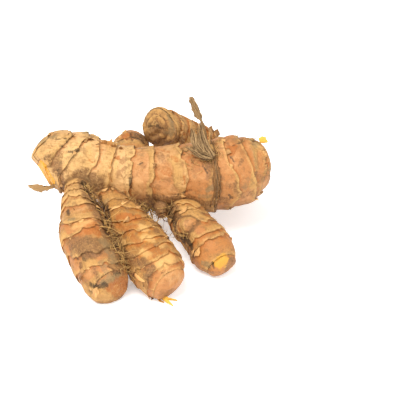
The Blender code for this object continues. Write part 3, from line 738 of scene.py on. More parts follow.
def shapeEnds(points):
    # everything past the cut plane is pressed onto it, where it is crowned and its upper end is left
    # fuller, and everything below the surface onto that
    normal = np.array(cut["normal"]) / np.linalg.norm(cut["normal"])
    offset = points - (np.array(cut["point"]) - centre)
    atEnd = (np.linalg.norm(offset, axis=1) < cut["reach"]) | (offset[:, 1] > 0.0)
    along = offset @ np.array(cut["long"]) - cut["middle"]
    fuller = cut["fuller"] * smooth(cut["fullerFrom"], cut["fullerTo"], along)
    past = np.where(atEnd, offset @ normal - fuller, -1.0)
    swell = cut["crown"] * smooth(0.0, 4.0, past)
    swell = swell + cut["roughness"] * fractal(points, 3.0, 901, 2) * smooth(0.0, 1.0, past)
    points = points + (np.where(past > 0.0, swell - past, 0.0))[:, None] * normal
    ragged = fractal(points, 2.5, 905, 2)
    along = np.abs(along)
    flesh = smooth(0.5, 0.8, past + 0.3 * ragged) * smooth(0.4, -0.2, along + 0.5 * ragged - cut["half"])
    points[:, 2] = np.maximum(points[:, 2], 0.0)
    return points, flesh


def finishRhizome(piece):
    points, values, near = softenJoins(piece)
    points, flesh = shapeEnds(points)
    mesh = piece.data
    mesh.vertices.foreach_set("co", (points * mm).astype(np.float32).ravel())
    values["jointShade"] = near[:, None]
    values["flesh"] = flesh[:, None]
    for key, value in values.items():
        writeField(mesh, key, value)
    mesh.attributes.remove(mesh.attributes["made"])
    mesh.update()


# Thin pieces: ribbons, flakes and fibres

leastHeight = 0.04


def unit(vectors):
    return vectors / np.maximum(np.linalg.norm(vectors, axis=-1, keepdims=True), 1e-9)


def ribbons(name, lines, sides, halfWide, halfThick, cup, columns, ragged, seed, tones):
    # many closed ribbons at once: a flattened ellipse carried along each line, its half width ragged by
    # noise on either side by itself, and its middle lifted by cup; lines are (pieces, rows, 3)
    pieces, rows = lines.shape[:2]
    along = unit(np.gradient(lines, axis=1))
    up = unit(np.cross(along, sides))
    side = np.cross(up, along)
    turn = np.linspace(0.0, 2.0 * math.pi, columns, endpoint=False)
    across = np.cos(turn)[None, None, :]
    spots = lines[:, :, None, :] + side[:, :, None, :] * across[..., None] * 3.0
    rough = 1.0 + ragged * fractal(spots, 0.9, seed, 2)
    wide = halfWide[..., None] * across * rough
    lift = halfThick[..., None] * np.sin(turn) + cup * (1.0 - across ** 2)
    points = lines[:, :, None, :] + wide[..., None] * side[:, :, None, :]
    points = points + lift[..., None] * up[:, :, None, :]
    points[..., 2] = np.maximum(points[..., 2], leastHeight)
    walked = np.cumsum(np.linalg.norm(np.diff(lines, axis=1, prepend=lines[:, :1]), axis=-1), axis=1)
    grain = np.stack([wide, walked[..., None] + 0.0 * wide,
                      (np.arange(pieces) * 3.7 % 97.0)[:, None, None] + 0.0 * wide], axis=-1)
    shade = tones[:, None, None] + 0.0 * wide

    base = (np.arange(pieces) * (rows * columns + 2))[:, None, None]
    row = np.arange(rows - 1)[None, :, None] * columns
    left = np.arange(columns)[None, None, :]
    right = (left + 1) % columns
    quads = np.stack([base + row + left, base + row + right, base + row + columns + right,
                      base + row + columns + left], axis=-1).reshape(-1, 4)
    first = base[..., 0] + rows * columns
    last = base[..., 0] + (rows - 1) * columns
    ring = np.arange(columns)[None, :]
    after = (ring + 1) % columns
    low = np.stack([base[..., 0] + after, base[..., 0] + ring, first + 0 * ring], axis=-1).reshape(-1, 3)
    high = np.stack([last + ring, last + after, first + 1 + 0 * ring], axis=-1).reshape(-1, 3)

    def closed(grid):
        # the grid's values followed by the means of its first and last rows, piece by piece
        flat = grid.reshape(pieces, rows * columns, -1)
        ends = np.stack([flat[:, :columns].mean(axis=1), flat[:, -columns:].mean(axis=1)], axis=1)
        return np.concatenate([flat, ends], axis=1).reshape(-1, flat.shape[-1])

    sizes = np.concatenate([np.full(len(quads), 4), np.full(len(low) + len(high), 3)])
    loops = np.concatenate([quads.ravel(), low.ravel(), high.ravel()])
    return fillMesh(name, closed(points), loops, sizes, {"grain": closed(grain), "shade": closed(shade)})


def bentLines(lines):
    return bendPoints(lines.reshape(-1, 3)).reshape(lines.shape)


def onBranch(name, place, degrees, lift=0.0):
    # a place on a branch's skin, with the directions outwards, towards the tip and round it
    path = Path(branches[name])
    place = np.asarray(place, dtype=float)
    angle = np.radians(np.asarray(degrees, dtype=float))
    middle, radius, across, other = path.walk(place)
    past = np.clip((place - path.length) / max(branches[name]["domes"][1], 0.001), 0.0, 1.0)
    radius = radius * np.sqrt(1.0 - past ** 2)
    spoke = np.cos(angle)[..., None] * across + np.sin(angle)[..., None] * other
    along = path.pick(path.along, np.clip(place, 0.0, path.length))
    return middle + (radius + lift)[..., None] * spoke, spoke, unit(along), unit(np.cross(along, spoke))


def mergeMeshes(name, meshes):
    # several meshes with the same attributes as one object
    pieces = [addObject(name, mesh) for mesh in meshes]
    with bpy.context.temp_override(active_object=pieces[0], selected_editable_objects=pieces):
        bpy.ops.object.join()
    return pieces[0]


def flakeMesh(name, rows, seed):
    # each torn bit is a short ribbon that leaves the skin at its lean and curls on
    rng = np.random.default_rng(seed)
    t = np.linspace(0.0, 1.0, 9)
    lines = []
    sides = []
    wides = []
    for branch, place, degrees, length, width, lean, turned, _ in rows:
        point, spoke, along, around = onBranch(branch, [place], [degrees], 0.05)
        way = along * math.cos(math.radians(turned)) + around * math.sin(math.radians(turned))
        side = np.cross(spoke, way)
        out = way * math.cos(math.radians(lean)) + spoke * math.sin(math.radians(lean))
        curl = rng.uniform(-0.25, 0.3) * length
        line = point + out * (length * (t - 0.12))[:, None] + spoke * (curl * t ** 2)[:, None]
        line = line + side * (rng.uniform(-0.2, 0.2) * length * t ** 2)[:, None]
        lines.append(line)
        sides.append(np.repeat(side, len(t), axis=0))
        wides.append(0.5 * width * np.clip(1.0 - t ** rng.uniform(1.6, 4.0), 0.08, 1.0))
    lines = np.array(lines)
    wides = np.array(wides)
    thick = 0.07 + 0.09 * (1.0 - t)[None, :] + 0.0 * wides
    tones = np.array([row[-1] for row in rows])
    return ribbons(name, bentLines(lines), np.array(sides), wides, thick, 0.08, 10, 0.55, seed, tones)


def pastCut(point):
    # how far a point lies past the cut plane
    return float((point - cut["point"]) @ cut["normal"])


def edgeFlakes(seed):
    # small torn bits along every scale edge, more where the edge stands proud
    rng = np.random.default_rng(seed)
    rows = []
    for name, branch in branches.items():
        if name.startswith("bud"):
            continue
        turns = np.radians(np.arange(0.0, 360.0, 4.0))
        edges, rims = scaleEdges(branch, turns)
        for index in range(1, len(edges) - 1):
            for pick in rng.choice(len(turns), 7, replace=False):
                place = edges[index, pick] - 0.5
                point = onBranch(name, np.array([place]), np.degrees(turns[[pick]]))[0][0]
                if rims[index, pick] < 0.12 or (name == "main" and pastCut(point) > -0.4):
                    continue
                rows.append((name, place, math.degrees(turns[pick]), rng.uniform(0.8, 1.9),
                             rng.uniform(1.0, 3.4), rng.uniform(-3.0, 24.0), rng.uniform(-24.0, 24.0),
                             rng.uniform(0.25, 0.75)))
    return rows


def fibreMesh(name, groups, seed):
    # fine roots and torn fibres: thin tubes that leave the skin and wander
    rng = np.random.default_rng(seed)
    t = np.linspace(0.0, 1.0, 8)
    lines = []
    thicks = []
    for branch, places, angles, count, lengths, stand, thick in groups:
        place = rng.uniform(*places, count)
        point, spoke, along, around = onBranch(branch, place, rng.uniform(*angles, count), 0.0)
        length = rng.uniform(*lengths, count)[:, None]
        way = spoke * rng.uniform(0.1, 1.0, (count, 1)) * stand
        way = way + along * rng.normal(0.0, 0.7, (count, 1))
        way = unit(way + around * rng.normal(0.0, 0.7, (count, 1)))
        sway = rng.normal(0.0, 0.35, (count, 3))
        curl = rng.normal(0.0, 0.2, (count, 3))
        line = (point[:, None, :] + (way * length)[:, None, :] * (t - 0.05)[None, :, None]
                + (sway * length)[:, None, :] * (t ** 2)[None, :, None]
                + (curl * length)[:, None, :] * np.sin(t * 5.0)[None, :, None] * t[None, :, None])
        lines.append(line)
        thicks.append(thick * rng.uniform(0.07, 0.15, count))
    lines = np.concatenate(lines)
    count = len(lines)
    radius = np.concatenate(thicks)[:, None] * (1.0 - 0.7 * t)[None, :]
    sides = unit(np.cross(np.gradient(lines, axis=1), rng.normal(size=(count, 1, 3))))
    tones = rng.uniform(0.0, 1.0, count)
    return ribbons(name, bentLines(lines), sides, radius, radius, 0.0, 5, 0.0, seed, tones)


def looseRibbon(name, stations, side, thick, ragged, seed, tone):
    # one ribbon along a smooth line of (x, y, z, width), broad in the direction of its side
    line = smoothPath(stations, 10)
    sides = np.array([[side]]) + 0.0 * line[None, :, :3]
    wide = 0.5 * line[None, :, 3]
    thick = thick + 0.06 * wide
    line = bendPoints(line[:, :3])[None]
    return ribbons(name, line, sides, wide, thick, 0.2, 14, ragged, seed, np.array([tone]))


def strands(name, spine, count, spread, widths, seed, reach=(0.6, 1.05)):
    # a sheaf of torn strips that start side by side along a spine (x, y, z) and fan out
    rng = np.random.default_rng(seed)
    t = np.linspace(0.0, 1.0, 16)
    line = smoothPath([(*point, 0.0) for point in spine], 12)[:, :3]
    walked = np.linspace(0.0, 1.0, len(line))
    ends = rng.uniform(*reach, count)
    share = t[None, :] * ends[:, None]
    lines = np.stack([np.interp(share, walked, line[:, axis]) for axis in range(3)], axis=-1)
    lower, upper = spread
    room = lower + (upper - lower) * share[..., None]
    side = rng.uniform(-1.0, 1.0, (count, 1, 1)) * room
    deep = rng.uniform(-1.0, 1.0, (count, 1, 1)) * room * 0.6
    wave = rng.normal(0.0, 0.25, (count, 1, 3))
    wave = wave * np.sin(share * rng.uniform(3.0, 8.0, (count, 1)))[..., None]
    lines = lines + side * np.array([0.9, 0.0, 0.45]) + deep * np.array([0.0, 1.0, 0.0]) + wave
    wide = rng.uniform(*widths, count)[:, None] * np.clip(1.15 - t[None, :] ** 2, 0.1, 1.0)
    sides = unit(np.array([0.85, 0.25, 0.4]) + rng.normal(0.0, 0.35, (count, 1, 3)) + 0.0 * lines)
    tones = rng.uniform(0.0, 1.0, count)
    return ribbons(name, bentLines(lines), sides, wide, 0.08 + 0.1 * wide, 0.05, 8, 0.5, seed, tones)


def makeSheath():
    # the dead leaf's sheath: a torn band along the dark ring, sheaves of fibre on top and a thin blade
    spec = {
        "ring": 9, "from": 246.0, "to": 418.0,
        # strips of the band: (shift along the branch, half width, lift)
        "strips": ((0.0, 0.95, 0.25), (-0.8, 0.5, 0.42), (0.6, 0.35, 0.45), (-0.1, 0.35, 0.65)),
        "tongue": [(21.4, -6.8, 35.6), (20.2, -6.2, 38.6), (18.8, -4.8, 42.8), (17.6, -3.2, 47.4)],
        "second": [(20.8, -6.8, 36.2), (17.4, -6.0, 39.6), (15.8, -4.6, 42.8), (14.8, -3.4, 45.8)],
        "fluff": [(22.0, -7.2, 35.4), (19.0, -7.4, 36.8), (15.4, -6.8, 38.4), (12.0, -6.0, 39.4)],
        "loose": [(-35.0, -5.6, 22.4, 1.2), (-38.5, -7.6, 22.4, 2.0), (-42.0, -8.0, 22.8, 2.9),
                  (-44.4, -8.0, 23.6, 2.2), (-46.0, -8.0, 24.2, 0.8)],
        "blade": [(22.4, -4.8, 35.6, 1.0), (21.2, -3.8, 39.4, 0.8), (20.2, -2.8, 44.0, 0.7),
                  (18.9, -2.4, 46.8, 0.8), (18.2, -2.2, 48.2, 1.3), (17.5, -2.2, 49.2, 2.7),
                  (16.7, -2.0, 51.0, 3.1), (15.9, -2.0, 53.4, 2.7), (15.4, -2.0, 55.4, 2.5),
                  (15.0, -2.0, 56.8, 1.8)],
    }
    main = branches["main"]
    degrees = np.linspace(spec["from"], spec["to"], 90)
    place = edgeLine(main["rings"][spec["ring"]], main["edges"][spec["ring"]], degrees)
    meshes = []
    spot = np.stack([degrees * 0.2, 0.0 * degrees, 0.0 * degrees], axis=-1)
    fade = np.sqrt(np.clip(np.sin(np.linspace(0.0, math.pi, len(degrees))), 0.02, 1.0))
    for index, (shift, half, lift) in enumerate(spec["strips"]):
        offset = 0.35 * fractal(spot, 3.0, 950 + index)
        point, _, along, _ = onBranch("main", place + shift + offset, degrees, lift)
        thick = (0.3 * fade + 0.03)[None]
        tone = np.array([1.3 - 0.1 * index])
        meshes.append(ribbons("band", bendPoints(point)[None], along[None], (half * fade)[None], thick,
                              0.05, 12, 0.6, 960 + index, tone))
    meshes.append(looseRibbon("blade", spec["blade"], (0.92, -0.2, 0.3), 0.14, 0.25, 971, 0.55))
    meshes.append(looseRibbon("loose", spec["loose"], (0.1, 0.3, 0.95), 0.08, 0.4, 976, 0.0))
    meshes.append(strands("tongue", spec["tongue"], 40, (2.3, 1.0), (0.2, 0.55), 972))
    meshes.append(strands("second", spec["second"], 26, (2.2, 0.8), (0.2, 0.5), 973))
    meshes.append(strands("fluff", spec["fluff"], 44, (1.6, 2.2), (0.1, 0.34), 974, (0.3, 1.0)))
    return mergeMeshes("dryLeafSheath", meshes)


# Torn bits of scale by branch: (place, angle, length, width, lean in degrees, turn in degrees, tone)
flakes = {
    "main": [(23.6, 257.0, 2.6, 2.6, 62.0, 80.0, 0.5), (25.4, 258.0, 3.6, 2.4, 66.0, 100.0, 0.7),
        (27.0, 259.0, 2.4, 2.2, 58.0, 70.0, 0.4), (18.2, 258.0, 2.4, 3.2, 34.0, 90.0, 0.2),
        (20.4, 266.0, 2.4, 2.0, 30.0, 30.0, 0.1), (10.8, 259.0, 1.7, 1.6, 62.0, 0.0, 0.1),
        (12.2, 261.0, 1.4, 1.2, 52.0, 20.0, 0.2), (30.0, 258.0, 1.6, 1.8, 50.0, 90.0, 0.3),
        (56.0, 268.0, 3.0, 2.6, 10.0, -20.0, 0.4), (60.0, 270.0, 2.6, 2.0, 14.0, 15.0, 0.5),
        (74.2, 284.0, 2.6, 3.0, 8.0, 30.0, 0.4), (82.0, 262.0, 2.0, 2.4, 20.0, 0.0, 0.2)],
    "frontLeft": [(24.0, 362.0, 2.2, 2.2, 34.0, 20.0, 0.1), (44.6, 366.0, 1.8, 2.2, 24.0, 0.0, 0.1),
        (52.0, 350.0, 3.4, 3.0, 6.0, 20.0, 0.6), (49.0, 280.0, 3.6, 3.4, 4.0, -30.0, 0.2)],
    "frontMiddle": [(16.6, 262.0, 2.0, 7.6, 20.0, -4.0, 0.9), (20.6, 226.0, 1.8, 4.0, 16.0, 0.0, 0.6),
        (46.0, 322.0, 7.4, 1.5, 3.0, -4.0, 0.95), (50.5, 318.0, 4.0, 2.8, 8.0, 10.0, 0.3),
        (38.0, 326.0, 3.0, 2.4, 16.0, 0.0, 0.2)],
    "frontRight": [(31.6, 330.0, 2.2, 4.0, 14.0, 0.0, 0.7), (15.0, 290.0, 1.8, 4.4, 14.0, 0.0, 0.6)],
    "backRight": [(50.5, 258.0, 2.2, 3.4, 44.0, 84.0, 0.2), (47.5, 258.0, 2.4, 3.6, 40.0, 95.0, 0.25),
        (55.0, 258.0, 2.0, 3.0, 46.0, 88.0, 0.2), (71.0, 262.0, 1.5, 1.4, 40.0, 0.0, 0.2)],
}

# Chips of flesh on the right end's edge: (x, y, z, width)
yellowChips = [
    [(41.5, 7.6, 33.8, 1.8), (42.6, 7.9, 34.2, 2.8), (43.6, 8.1, 33.9, 2.2), (44.6, 8.2, 33.0, 0.6)],
]

# Broken roots under the middle finger's tip: (x, y, z, width) from the skin out
rootBits = [
    [(3.6, -48.8, 1.8, 1.2), (6.0, -51.0, 1.4, 1.6), (8.2, -53.0, 1.0, 1.4), (9.8, -54.6, 0.7, 0.5)],
    [(4.6, -49.6, 1.6, 1.2), (7.4, -51.8, 1.8, 1.8), (9.6, -52.6, 1.9, 1.4), (11.4, -52.4, 1.5, 0.5)],
    [(3.0, -48.8, 1.4, 1.0), (4.4, -51.0, 1.0, 1.2), (6.4, -52.6, 0.7, 0.4)],
]

# Fine roots: (branch, places, angles, count, lengths, how far they stand up, how thick they are)
fibres = [
    ("frontLeft", (26.0, 52.0), (215.0, 262.0), 90, (2.0, 6.5), 0.8, 1.0),
    ("frontLeft", (8.0, 26.0), (225.0, 262.0), 26, (1.5, 4.5), 0.7, 1.0),
    ("main", (37.0, 53.0), (34.0, 84.0), 110, (4.0, 10.0), 1.0, 2.2),
    ("frontMiddle", (10.0, 50.0), (300.0, 350.0), 80, (1.5, 5.5), 0.8, 1.0),
    ("frontMiddle", (12.0, 36.0), (180.0, 216.0), 46, (1.5, 5.0), 0.8, 1.0),
    ("frontRight", (8.0, 26.0), (310.0, 355.0), 46, (1.5, 5.0), 0.8, 1.0),
    ("main", (26.0, 62.0), (24.0, 72.0), 110, (1.5, 5.0), 0.8, 1.0),
    ("main", (56.0, 72.0), (258.0, 300.0), 60, (1.5, 4.5), 0.6, 1.0),
    ("backRight", (48.0, 64.0), (205.0, 262.0), 30, (1.0, 3.0), 0.6, 1.0),
    ("main", (4.0, 90.0), (240.0, 400.0), 90, (0.6, 1.8), 0.4, 1.0),
    ("frontLeft", (12.0, 54.0), (250.0, 370.0), 60, (0.5, 1.4), 0.5, 1.0),
    ("frontMiddle", (12.0, 54.0), (210.0, 330.0), 60, (0.6, 2.0), 0.5, 1.0),
]


# Materials

def srgb(red, green, blue):
    parts = [part / 255.0 for part in (red, green, blue)]
    linear = [part / 12.92 if part <= 0.04045 else ((part + 0.055) / 1.055) ** 2.4 for part in parts]
    return (*linear, 1.0)


class Wire:
    # a value in a material: Python arithmetic on it adds Math nodes
    def __init__(self, recipe, socket):
        self.recipe = recipe
        self.socket = socket

    def math(self, operation, first, second):
        return self.recipe.add("ShaderNodeMath", {"operation": operation}, {0: first, 1: second})

    def __add__(self, other):
        return self.math("ADD", self, other)

    def __radd__(self, other):
        return self.math("ADD", other, self)

    def __sub__(self, other):
        return self.math("SUBTRACT", self, other)

    def __rsub__(self, other):
        return self.math("SUBTRACT", other, self)

    def __mul__(self, other):
        return self.math("MULTIPLY", self, other)

    def __rmul__(self, other):
        return self.math("MULTIPLY", other, self)

    def __truediv__(self, other):
        return self.math("DIVIDE", self, other)


class Recipe:
    # one material: its nodes are added by type, with their settings and the values of their sockets
    def __init__(self, name):
        self.material = bpy.data.materials.new(name)
        self.material.use_nodes = True
        self.tree = self.material.node_tree
        self.shader = self.tree.nodes["Principled BSDF"]

    def add(self, kind, settings=None, values=None, output=0):
        node = self.tree.nodes.new(kind)
        for key, value in (settings or {}).items():
            setattr(node, key, value)
        self.feed(node, values or {})
        return Wire(self, node.outputs[output])

    def feed(self, node, values):
        for key, value in values.items():
            if isinstance(value, Wire):
                self.tree.links.new(value.socket, node.inputs[key])
            else:
                node.inputs[key].default_value = value

    def field(self, name, output=2):
        return self.add("ShaderNodeAttribute", {"attribute_name": name}, output=output)

    def parts(self, vector):
        split = self.add("ShaderNodeSeparateXYZ", values={0: vector})
        outputs = split.socket.node.outputs
        return [Wire(self, outputs[axis]) for axis in range(3)]

    def place(self, vector, scale):
        return self.add("ShaderNodeVectorMath", {"operation": "MULTIPLY"}, {0: vector, 1: scale})

    def noise(self, vector, scale, detail=3.0, roughness=0.55):
        return self.add("ShaderNodeTexNoise", {}, {"Vector": vector, "Scale": scale, "Detail": detail,
                                                   "Roughness": roughness})

    def step(self, value, low, high):
        return self.add("ShaderNodeMapRange", {"interpolation_type": "SMOOTHSTEP"},
                        {"Value": value, "From Min": low, "From Max": high})

    def blend(self, factor, first, second, mode="MIX"):
        return self.add("ShaderNodeMix", {"data_type": "RGBA", "blend_type": mode},
                        {0: factor, 6: first, 7: second}, 2)

    def least(self, first, second):
        return self.add("ShaderNodeMath", {"operation": "MINIMUM"}, {0: first, 1: second})

    def most(self, first, second):
        return self.add("ShaderNodeMath", {"operation": "MAXIMUM"}, {0: first, 1: second})

    def finish(self, colour, roughness, height, depth, specular=0.35):
        bump = self.add("ShaderNodeBump", {}, {"Strength": 1.0, "Distance": depth, "Height": height})
        self.feed(self.shader, {"Base Color": colour, "Roughness": roughness, "Normal": bump,
                                "Specular IOR Level": specular})
        return self.material


def skinMaterial():
    look = {
        "pale": srgb(216, 170, 112), "pink": srgb(178, 116, 62), "ochre": srgb(186, 116, 40),
        "paperPale": srgb(216, 172, 112), "paper": srgb(190, 142, 80), "paperDark": srgb(154, 110, 58),
        "paperOchre": srgb(184, 126, 54),
        "cream": srgb(216, 168, 100), "brown": srgb(138, 96, 56), "umber": srgb(96, 64, 36),
        "grey": srgb(134, 110, 72), "dark": srgb(58, 42, 22), "rust": srgb(170, 96, 34),
        # under: the painted shade below, also the mottle; line: the edge lines with their painted shadow,
        # and the painted shade at the joins
        "under": srgb(126, 86, 46), "line": srgb(106, 72, 38),
        "flesh": srgb(230, 166, 0), "fleshDeep": srgb(212, 132, 0), "yellow": srgb(214, 154, 52),
    }
    m = Recipe("turmericSkin")
    spot = m.place(m.add("ShaderNodeTexCoord", output=3), (1000.0, 1000.0, 1000.0))
    grain = m.field("grain", 1)
    near, far, strength = m.parts(m.field("ringData", 1))
    # dark and brown carry real stains and also painted shade in the hollows
    dark, grey, brown = m.parts(m.field("stainsAndShade", 1))
    rust, cream, yellow = m.parts(m.field("tints", 1))
    under, tone, scar = m.parts(m.field("extras", 1))
    cover = m.field("cover")
    jointShade = m.field("jointShade")
    flesh = m.field("flesh")

    blotch = m.noise(spot, 0.13, 3.0)
    patch = m.noise(spot, 0.42, 4.0, 0.6)
    fine = m.noise(spot, 1.5, 3.0, 0.62)
    speck = m.noise(spot, 4.2, 2.0, 0.5)
    streak = m.noise(m.place(grain, (1.3, 1.3, 0.2)), 1.0, 3.0, 0.6)
    wrinkle = m.noise(m.place(grain, (0.3, 0.3, 2.6)), 1.0, 3.0, 0.6)
    hair = m.noise(m.place(grain, (3.6, 3.6, 0.4)), 1.0, 2.0, 0.5)

    # bare skin nearer the last ring, the dry scale nearer its own edge, in a ragged border
    share = near / m.most(near + far, 0.4)
    papery = m.step(share - (1.0 - cover) + (patch - 0.5) * 0.8 + (streak - 0.5) * 0.4 + (fine - 0.5) * 0.4,
                    -0.26, 0.4)
    skinColour = m.blend(m.step(tone + (blotch - 0.5) * 1.2 + (patch - 0.5) * 0.8 + (fine - 0.5) * 0.5,
                                0.0, 1.1), look["pale"], look["pink"])
    skinColour = m.blend(m.step(tone + (patch - 0.5) * 1.2, 1.0, 2.0) * 0.8, skinColour, look["ochre"])
    dry = m.blend(m.step(tone + (blotch - 0.5) * 1.0, 0.0, 0.9), look["paperPale"], look["paper"])
    dry = m.blend(m.step(tone + (patch - 0.5) * 1.4, 1.0, 2.2) * 0.75, dry, look["paperOchre"])
    paperColour = m.blend(m.step(streak * 0.5 + wrinkle * 0.3 + hair * 0.2 + (patch - 0.5) * 0.7,
                                 0.4, 0.72) * 0.8, dry, look["paperDark"])
    colour = m.blend(papery, skinColour, paperColour)
    rim = m.step(far + (fine - 0.5) * 1.2, 1.5, 0.2)
    colour = m.blend(rim * 0.45, colour, look["cream"])
    mottle = m.noise(m.place(spot, (0.34, 0.34, 0.34)), 1.0, 4.0, 0.62)
    colour = m.blend(m.step(mottle + (tone - 1.0) * 0.05, 0.5, 0.64) * 0.42, colour, look["under"])

    # torn rusty zone past each ring; brown dirt in blots, which also gather below as painted shade; and
    # painted shade, darker and browner where the skin faces down
    torn = m.step(near + (patch - 0.5) * 5.0 + (hair - 0.5) * 1.5, 1.3, 0.0) * (1.0 - papery)
    colour = m.blend(torn * 0.6, colour, look["rust"])
    # brown blots of dirt, with more of them where the skin faces down: partly real dirt, partly painted
    # shade
    dirtAndShade = m.step(patch + (blotch - 0.5) * 0.9 + (fine - 0.5) * 0.35 + under * 0.1, 0.6, 0.72)
    colour = m.blend(dirtAndShade * 0.5, colour, look["brown"])
    film = m.step(blotch * 0.6 + streak * 0.4 + (patch - 0.5) * 0.3, 0.54, 0.68)
    colour = m.blend(film * papery * 0.4, colour, look["grey"])
    # painted shade: darker and browner where the skin faces down
    shade = m.step(under + (patch - 0.5) * 0.7, 0.1, 0.9)
    colour = m.blend(shade * 0.48, colour, look["under"])

    # single marks, each broken up by the fine noise
    worn = (fine - 0.5) * 1.2 + (wrinkle - 0.5) * 0.7 + (patch - 0.5) * 0.5
    mottled = m.blend(m.step(streak * 0.4 + fine * 0.6, 0.36, 0.66), look["brown"], look["umber"])
    fibrous = m.step(hair + (patch - 0.5) * 0.8, 0.5, 0.7) * m.step(tone, 0.9, 1.7)
    colour = m.blend(fibrous * 0.4, colour, look["brown"])
    colour = m.blend(m.step(cream + worn, 0.1, 0.9) * 0.8, colour, look["cream"])
    # brown marks: real stains, and also painted shade in the hollows, under the main and in the bud's folds
    colour = m.blend(m.step(brown + worn, 0.05, 1.0) * 0.85, colour, mottled)
    colour = m.blend(m.step(grey + worn, 0.1, 1.05) * 0.8, colour, look["grey"])
    colour = m.blend(m.step(rust + scar * 0.6 + worn, 0.1, 1.0) * 0.85, colour, look["rust"])
    colour = m.blend(m.step(yellow + worn, 0.2, 1.1) * 0.9, colour, look["yellow"])

    # the thin dark line at a scale's edge, broken where the edge lies flat: the edge's own brown line with a
    # painted shadow under the raised edge
    broken = m.step(strength + (patch - 0.5) * 2.8, 0.6, 1.5)
    edge = m.step(m.least(near, far * 2.2) + (fine - 0.5) * 0.7, 0.42, 0.02)
    colour = m.blend(edge * broken * 0.75, colour, look["line"])
    # dark marks: real spots, and also painted shade in the hollows between the fingers
    colour = m.blend(m.step(dark + worn, 0.15, 0.95) * 0.85, colour, look["dark"])
    # painted shade in the creases where the branches join
    colour = m.blend(m.step(jointShade + (patch - 0.5) * 0.8, 0.2, 0.9) * 0.6, colour, look["line"])
    colour = m.blend(m.step(speck + (patch - 0.5) * 0.2, 0.6, 0.72) * 0.4, colour, look["brown"])
    colour = m.blend(m.step(speck, 0.42, 0.3) * 0.25, colour, look["cream"])

    fleshColour = m.blend(m.step(fine, 0.35, 0.65), look["flesh"], look["fleshDeep"])
    colour = m.blend(m.step(flesh, 0.1, 0.4) * 0.8, colour, look["umber"])
    colour = m.blend(m.step(flesh, 0.45, 0.75), colour, fleshColour)

    height = (streak * 0.4 + hair * 0.3 + wrinkle * 0.5) * papery + fine * 0.6 + speck * 0.3 + patch * 0.6
    roughness = 0.56 + papery * 0.14 + (fine - 0.5) * 0.2 - flesh * 0.15
    return m.finish(colour, roughness, height, 0.0004)


def leafMaterial():
    m = Recipe("dryLeaf")
    grain = m.field("grain", 1)
    shade = m.field("shade")
    spot = m.place(m.add("ShaderNodeTexCoord", output=3), (1000.0, 1000.0, 1000.0))
    streak = m.noise(m.place(grain, (3.4, 0.3, 1.0)), 1.0, 3.0, 0.6)
    fine = m.noise(spot, 1.8, 3.0)
    straw = m.blend(m.step(streak + (shade - 0.5) * 0.25, 0.32, 0.7), srgb(172, 138, 94), srgb(92, 68, 42))
    bark = m.blend(m.step(streak, 0.35, 0.65), srgb(150, 104, 58), srgb(84, 60, 34))
    colour = m.blend(m.step(shade, 0.98, 1.02), straw, bark)
    colour = m.blend(m.step(fine, 0.55, 0.72) * 0.4, colour, srgb(158, 134, 98))
    return m.finish(colour, 0.75 + (fine - 0.5) * 0.2, streak + fine * 0.4, 0.0003, 0.25)


def bitMaterial(name, pale, deep):
    # torn bits and fibres: each from pale to deep by its own shade
    m = Recipe(name)
    grain = m.field("grain", 1)
    shade = m.field("shade")
    streak = m.noise(m.place(grain, (2.6, 0.4, 1.0)), 1.0, 3.0, 0.6)
    colour = m.blend(m.step(shade + (streak - 0.5) * 0.9, 0.0, 1.0), deep, pale)
    return m.finish(colour, 0.7 + (streak - 0.5) * 0.2, streak, 0.00015, 0.3)


# Stage, light and camera

def makeStage():
    floorSide = 3.0
    mesh = bpy.data.meshes.new("floor")
    corners = [(-1.0, -1.0, 0.0), (1.0, -1.0, 0.0), (1.0, 1.0, 0.0), (-1.0, 1.0, 0.0)]
    mesh.from_pydata([tuple(part * floorSide for part in corner) for corner in corners], [], [(0, 1, 2, 3)])
    floor = addObject("floor", mesh)
    recipe = Recipe("floorWhite")
    recipe.feed(recipe.shader, {"Base Color": (0.98, 0.98, 0.98, 1.0), "Roughness": 0.9,
                                "Specular IOR Level": 0.0, "Emission Color": (1.0, 1.0, 1.0, 1.0),
                                "Emission Strength": 0.38})
    floor.data.materials.append(recipe.material)


def addLight(name, place, size, power):
    # a round light that points at the hand
    light = bpy.data.lights.new(name, "AREA")
    light.shape = "DISK"
    light.size = size
    light.energy = power
    item = bpy.data.objects.new(name, light)
    bpy.context.scene.collection.objects.link(item)
    item.location = place
    way = np.array([0.0, 0.0, 0.02]) - np.array(place)
    yaw = math.atan2(-way[0], way[1])
    pitch = math.acos(-way[2] / np.linalg.norm(way))
    item.rotation_euler = (pitch, 0.0, yaw)


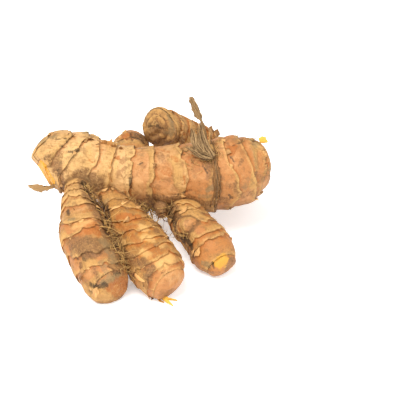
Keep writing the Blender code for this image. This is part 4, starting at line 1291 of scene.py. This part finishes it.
def makeLights():
    world = bpy.data.worlds.new("studio")
    world.use_nodes = True
    world.node_tree.nodes["Background"].inputs["Color"].default_value = (1.0, 1.0, 1.0, 1.0)
    world.node_tree.nodes["Background"].inputs["Strength"].default_value = 0.66
    bpy.context.scene.world = world
    addLight("key", (-0.3, -0.35, 0.9), 0.7, 11.4)
    addLight("fill", (0.5, -0.6, 0.6), 0.8, 3.0)


def makeCamera():
    lens = bpy.data.cameras.new("camera")
    lens.sensor_width = 36.0
    lens.lens = camera["lens"]
    lens.clip_start = 0.01
    item = bpy.data.objects.new("camera", lens)
    bpy.context.scene.collection.objects.link(item)
    tilt = math.radians(camera["elevation"])
    target = (np.array(camera["target"]) - centre) * mm
    item.location = target + np.array([0.0, -math.cos(tilt), math.sin(tilt)]) * camera["distance"] * mm
    item.rotation_euler = (math.pi / 2.0 - tilt, 0.0, 0.0)
    bpy.context.scene.camera = item


def dress(piece, material):
    piece.data.materials.clear()
    piece.data.materials.append(material)
    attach(piece, "root")
    return piece


print("stage")
makeCamera()
makeStage()
makeLights()

print("rhizome")
rhizome = makeRhizome()
finishRhizome(rhizome)
dress(rhizome, skinMaterial())
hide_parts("rhizome")

print("leaf sheath")
sheath = dress(makeSheath(), leafMaterial())
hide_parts("leaf_sheath")

print("torn scales and fibres")
bits = [(branch, *row) for branch, rows in flakes.items() for row in rows]
scaleBits = addObject("scaleBits", flakeMesh("scaleBits", bits + edgeFlakes(41), 43))
dress(scaleBits, bitMaterial("scaleBit", srgb(226, 172, 106), srgb(118, 78, 40)))
roots = [looseRibbon("yellowBits", line, (0.4, -0.5, 0.75), 0.18, 0.5, 980 + index, 0.8 - 0.25 * index)
         for index, line in enumerate(rootBits)]
chips = [looseRibbon("yellowBits", line, (0.1, 0.4, 0.9), 0.2, 0.4, 990 + index, 0.9)
         for index, line in enumerate(yellowChips)]
chips = mergeMeshes("yellowBits", chips + roots)
dress(chips, bitMaterial("yellowBit", srgb(236, 178, 70), srgb(160, 104, 30)))
fibreBits = addObject("fibres", fibreMesh("fibres", fibres, 47))
dress(fibreBits, bitMaterial("fibre", srgb(212, 168, 100), srgb(104, 72, 36)))

bpy.context.scene.view_settings.view_transform = "Standard"
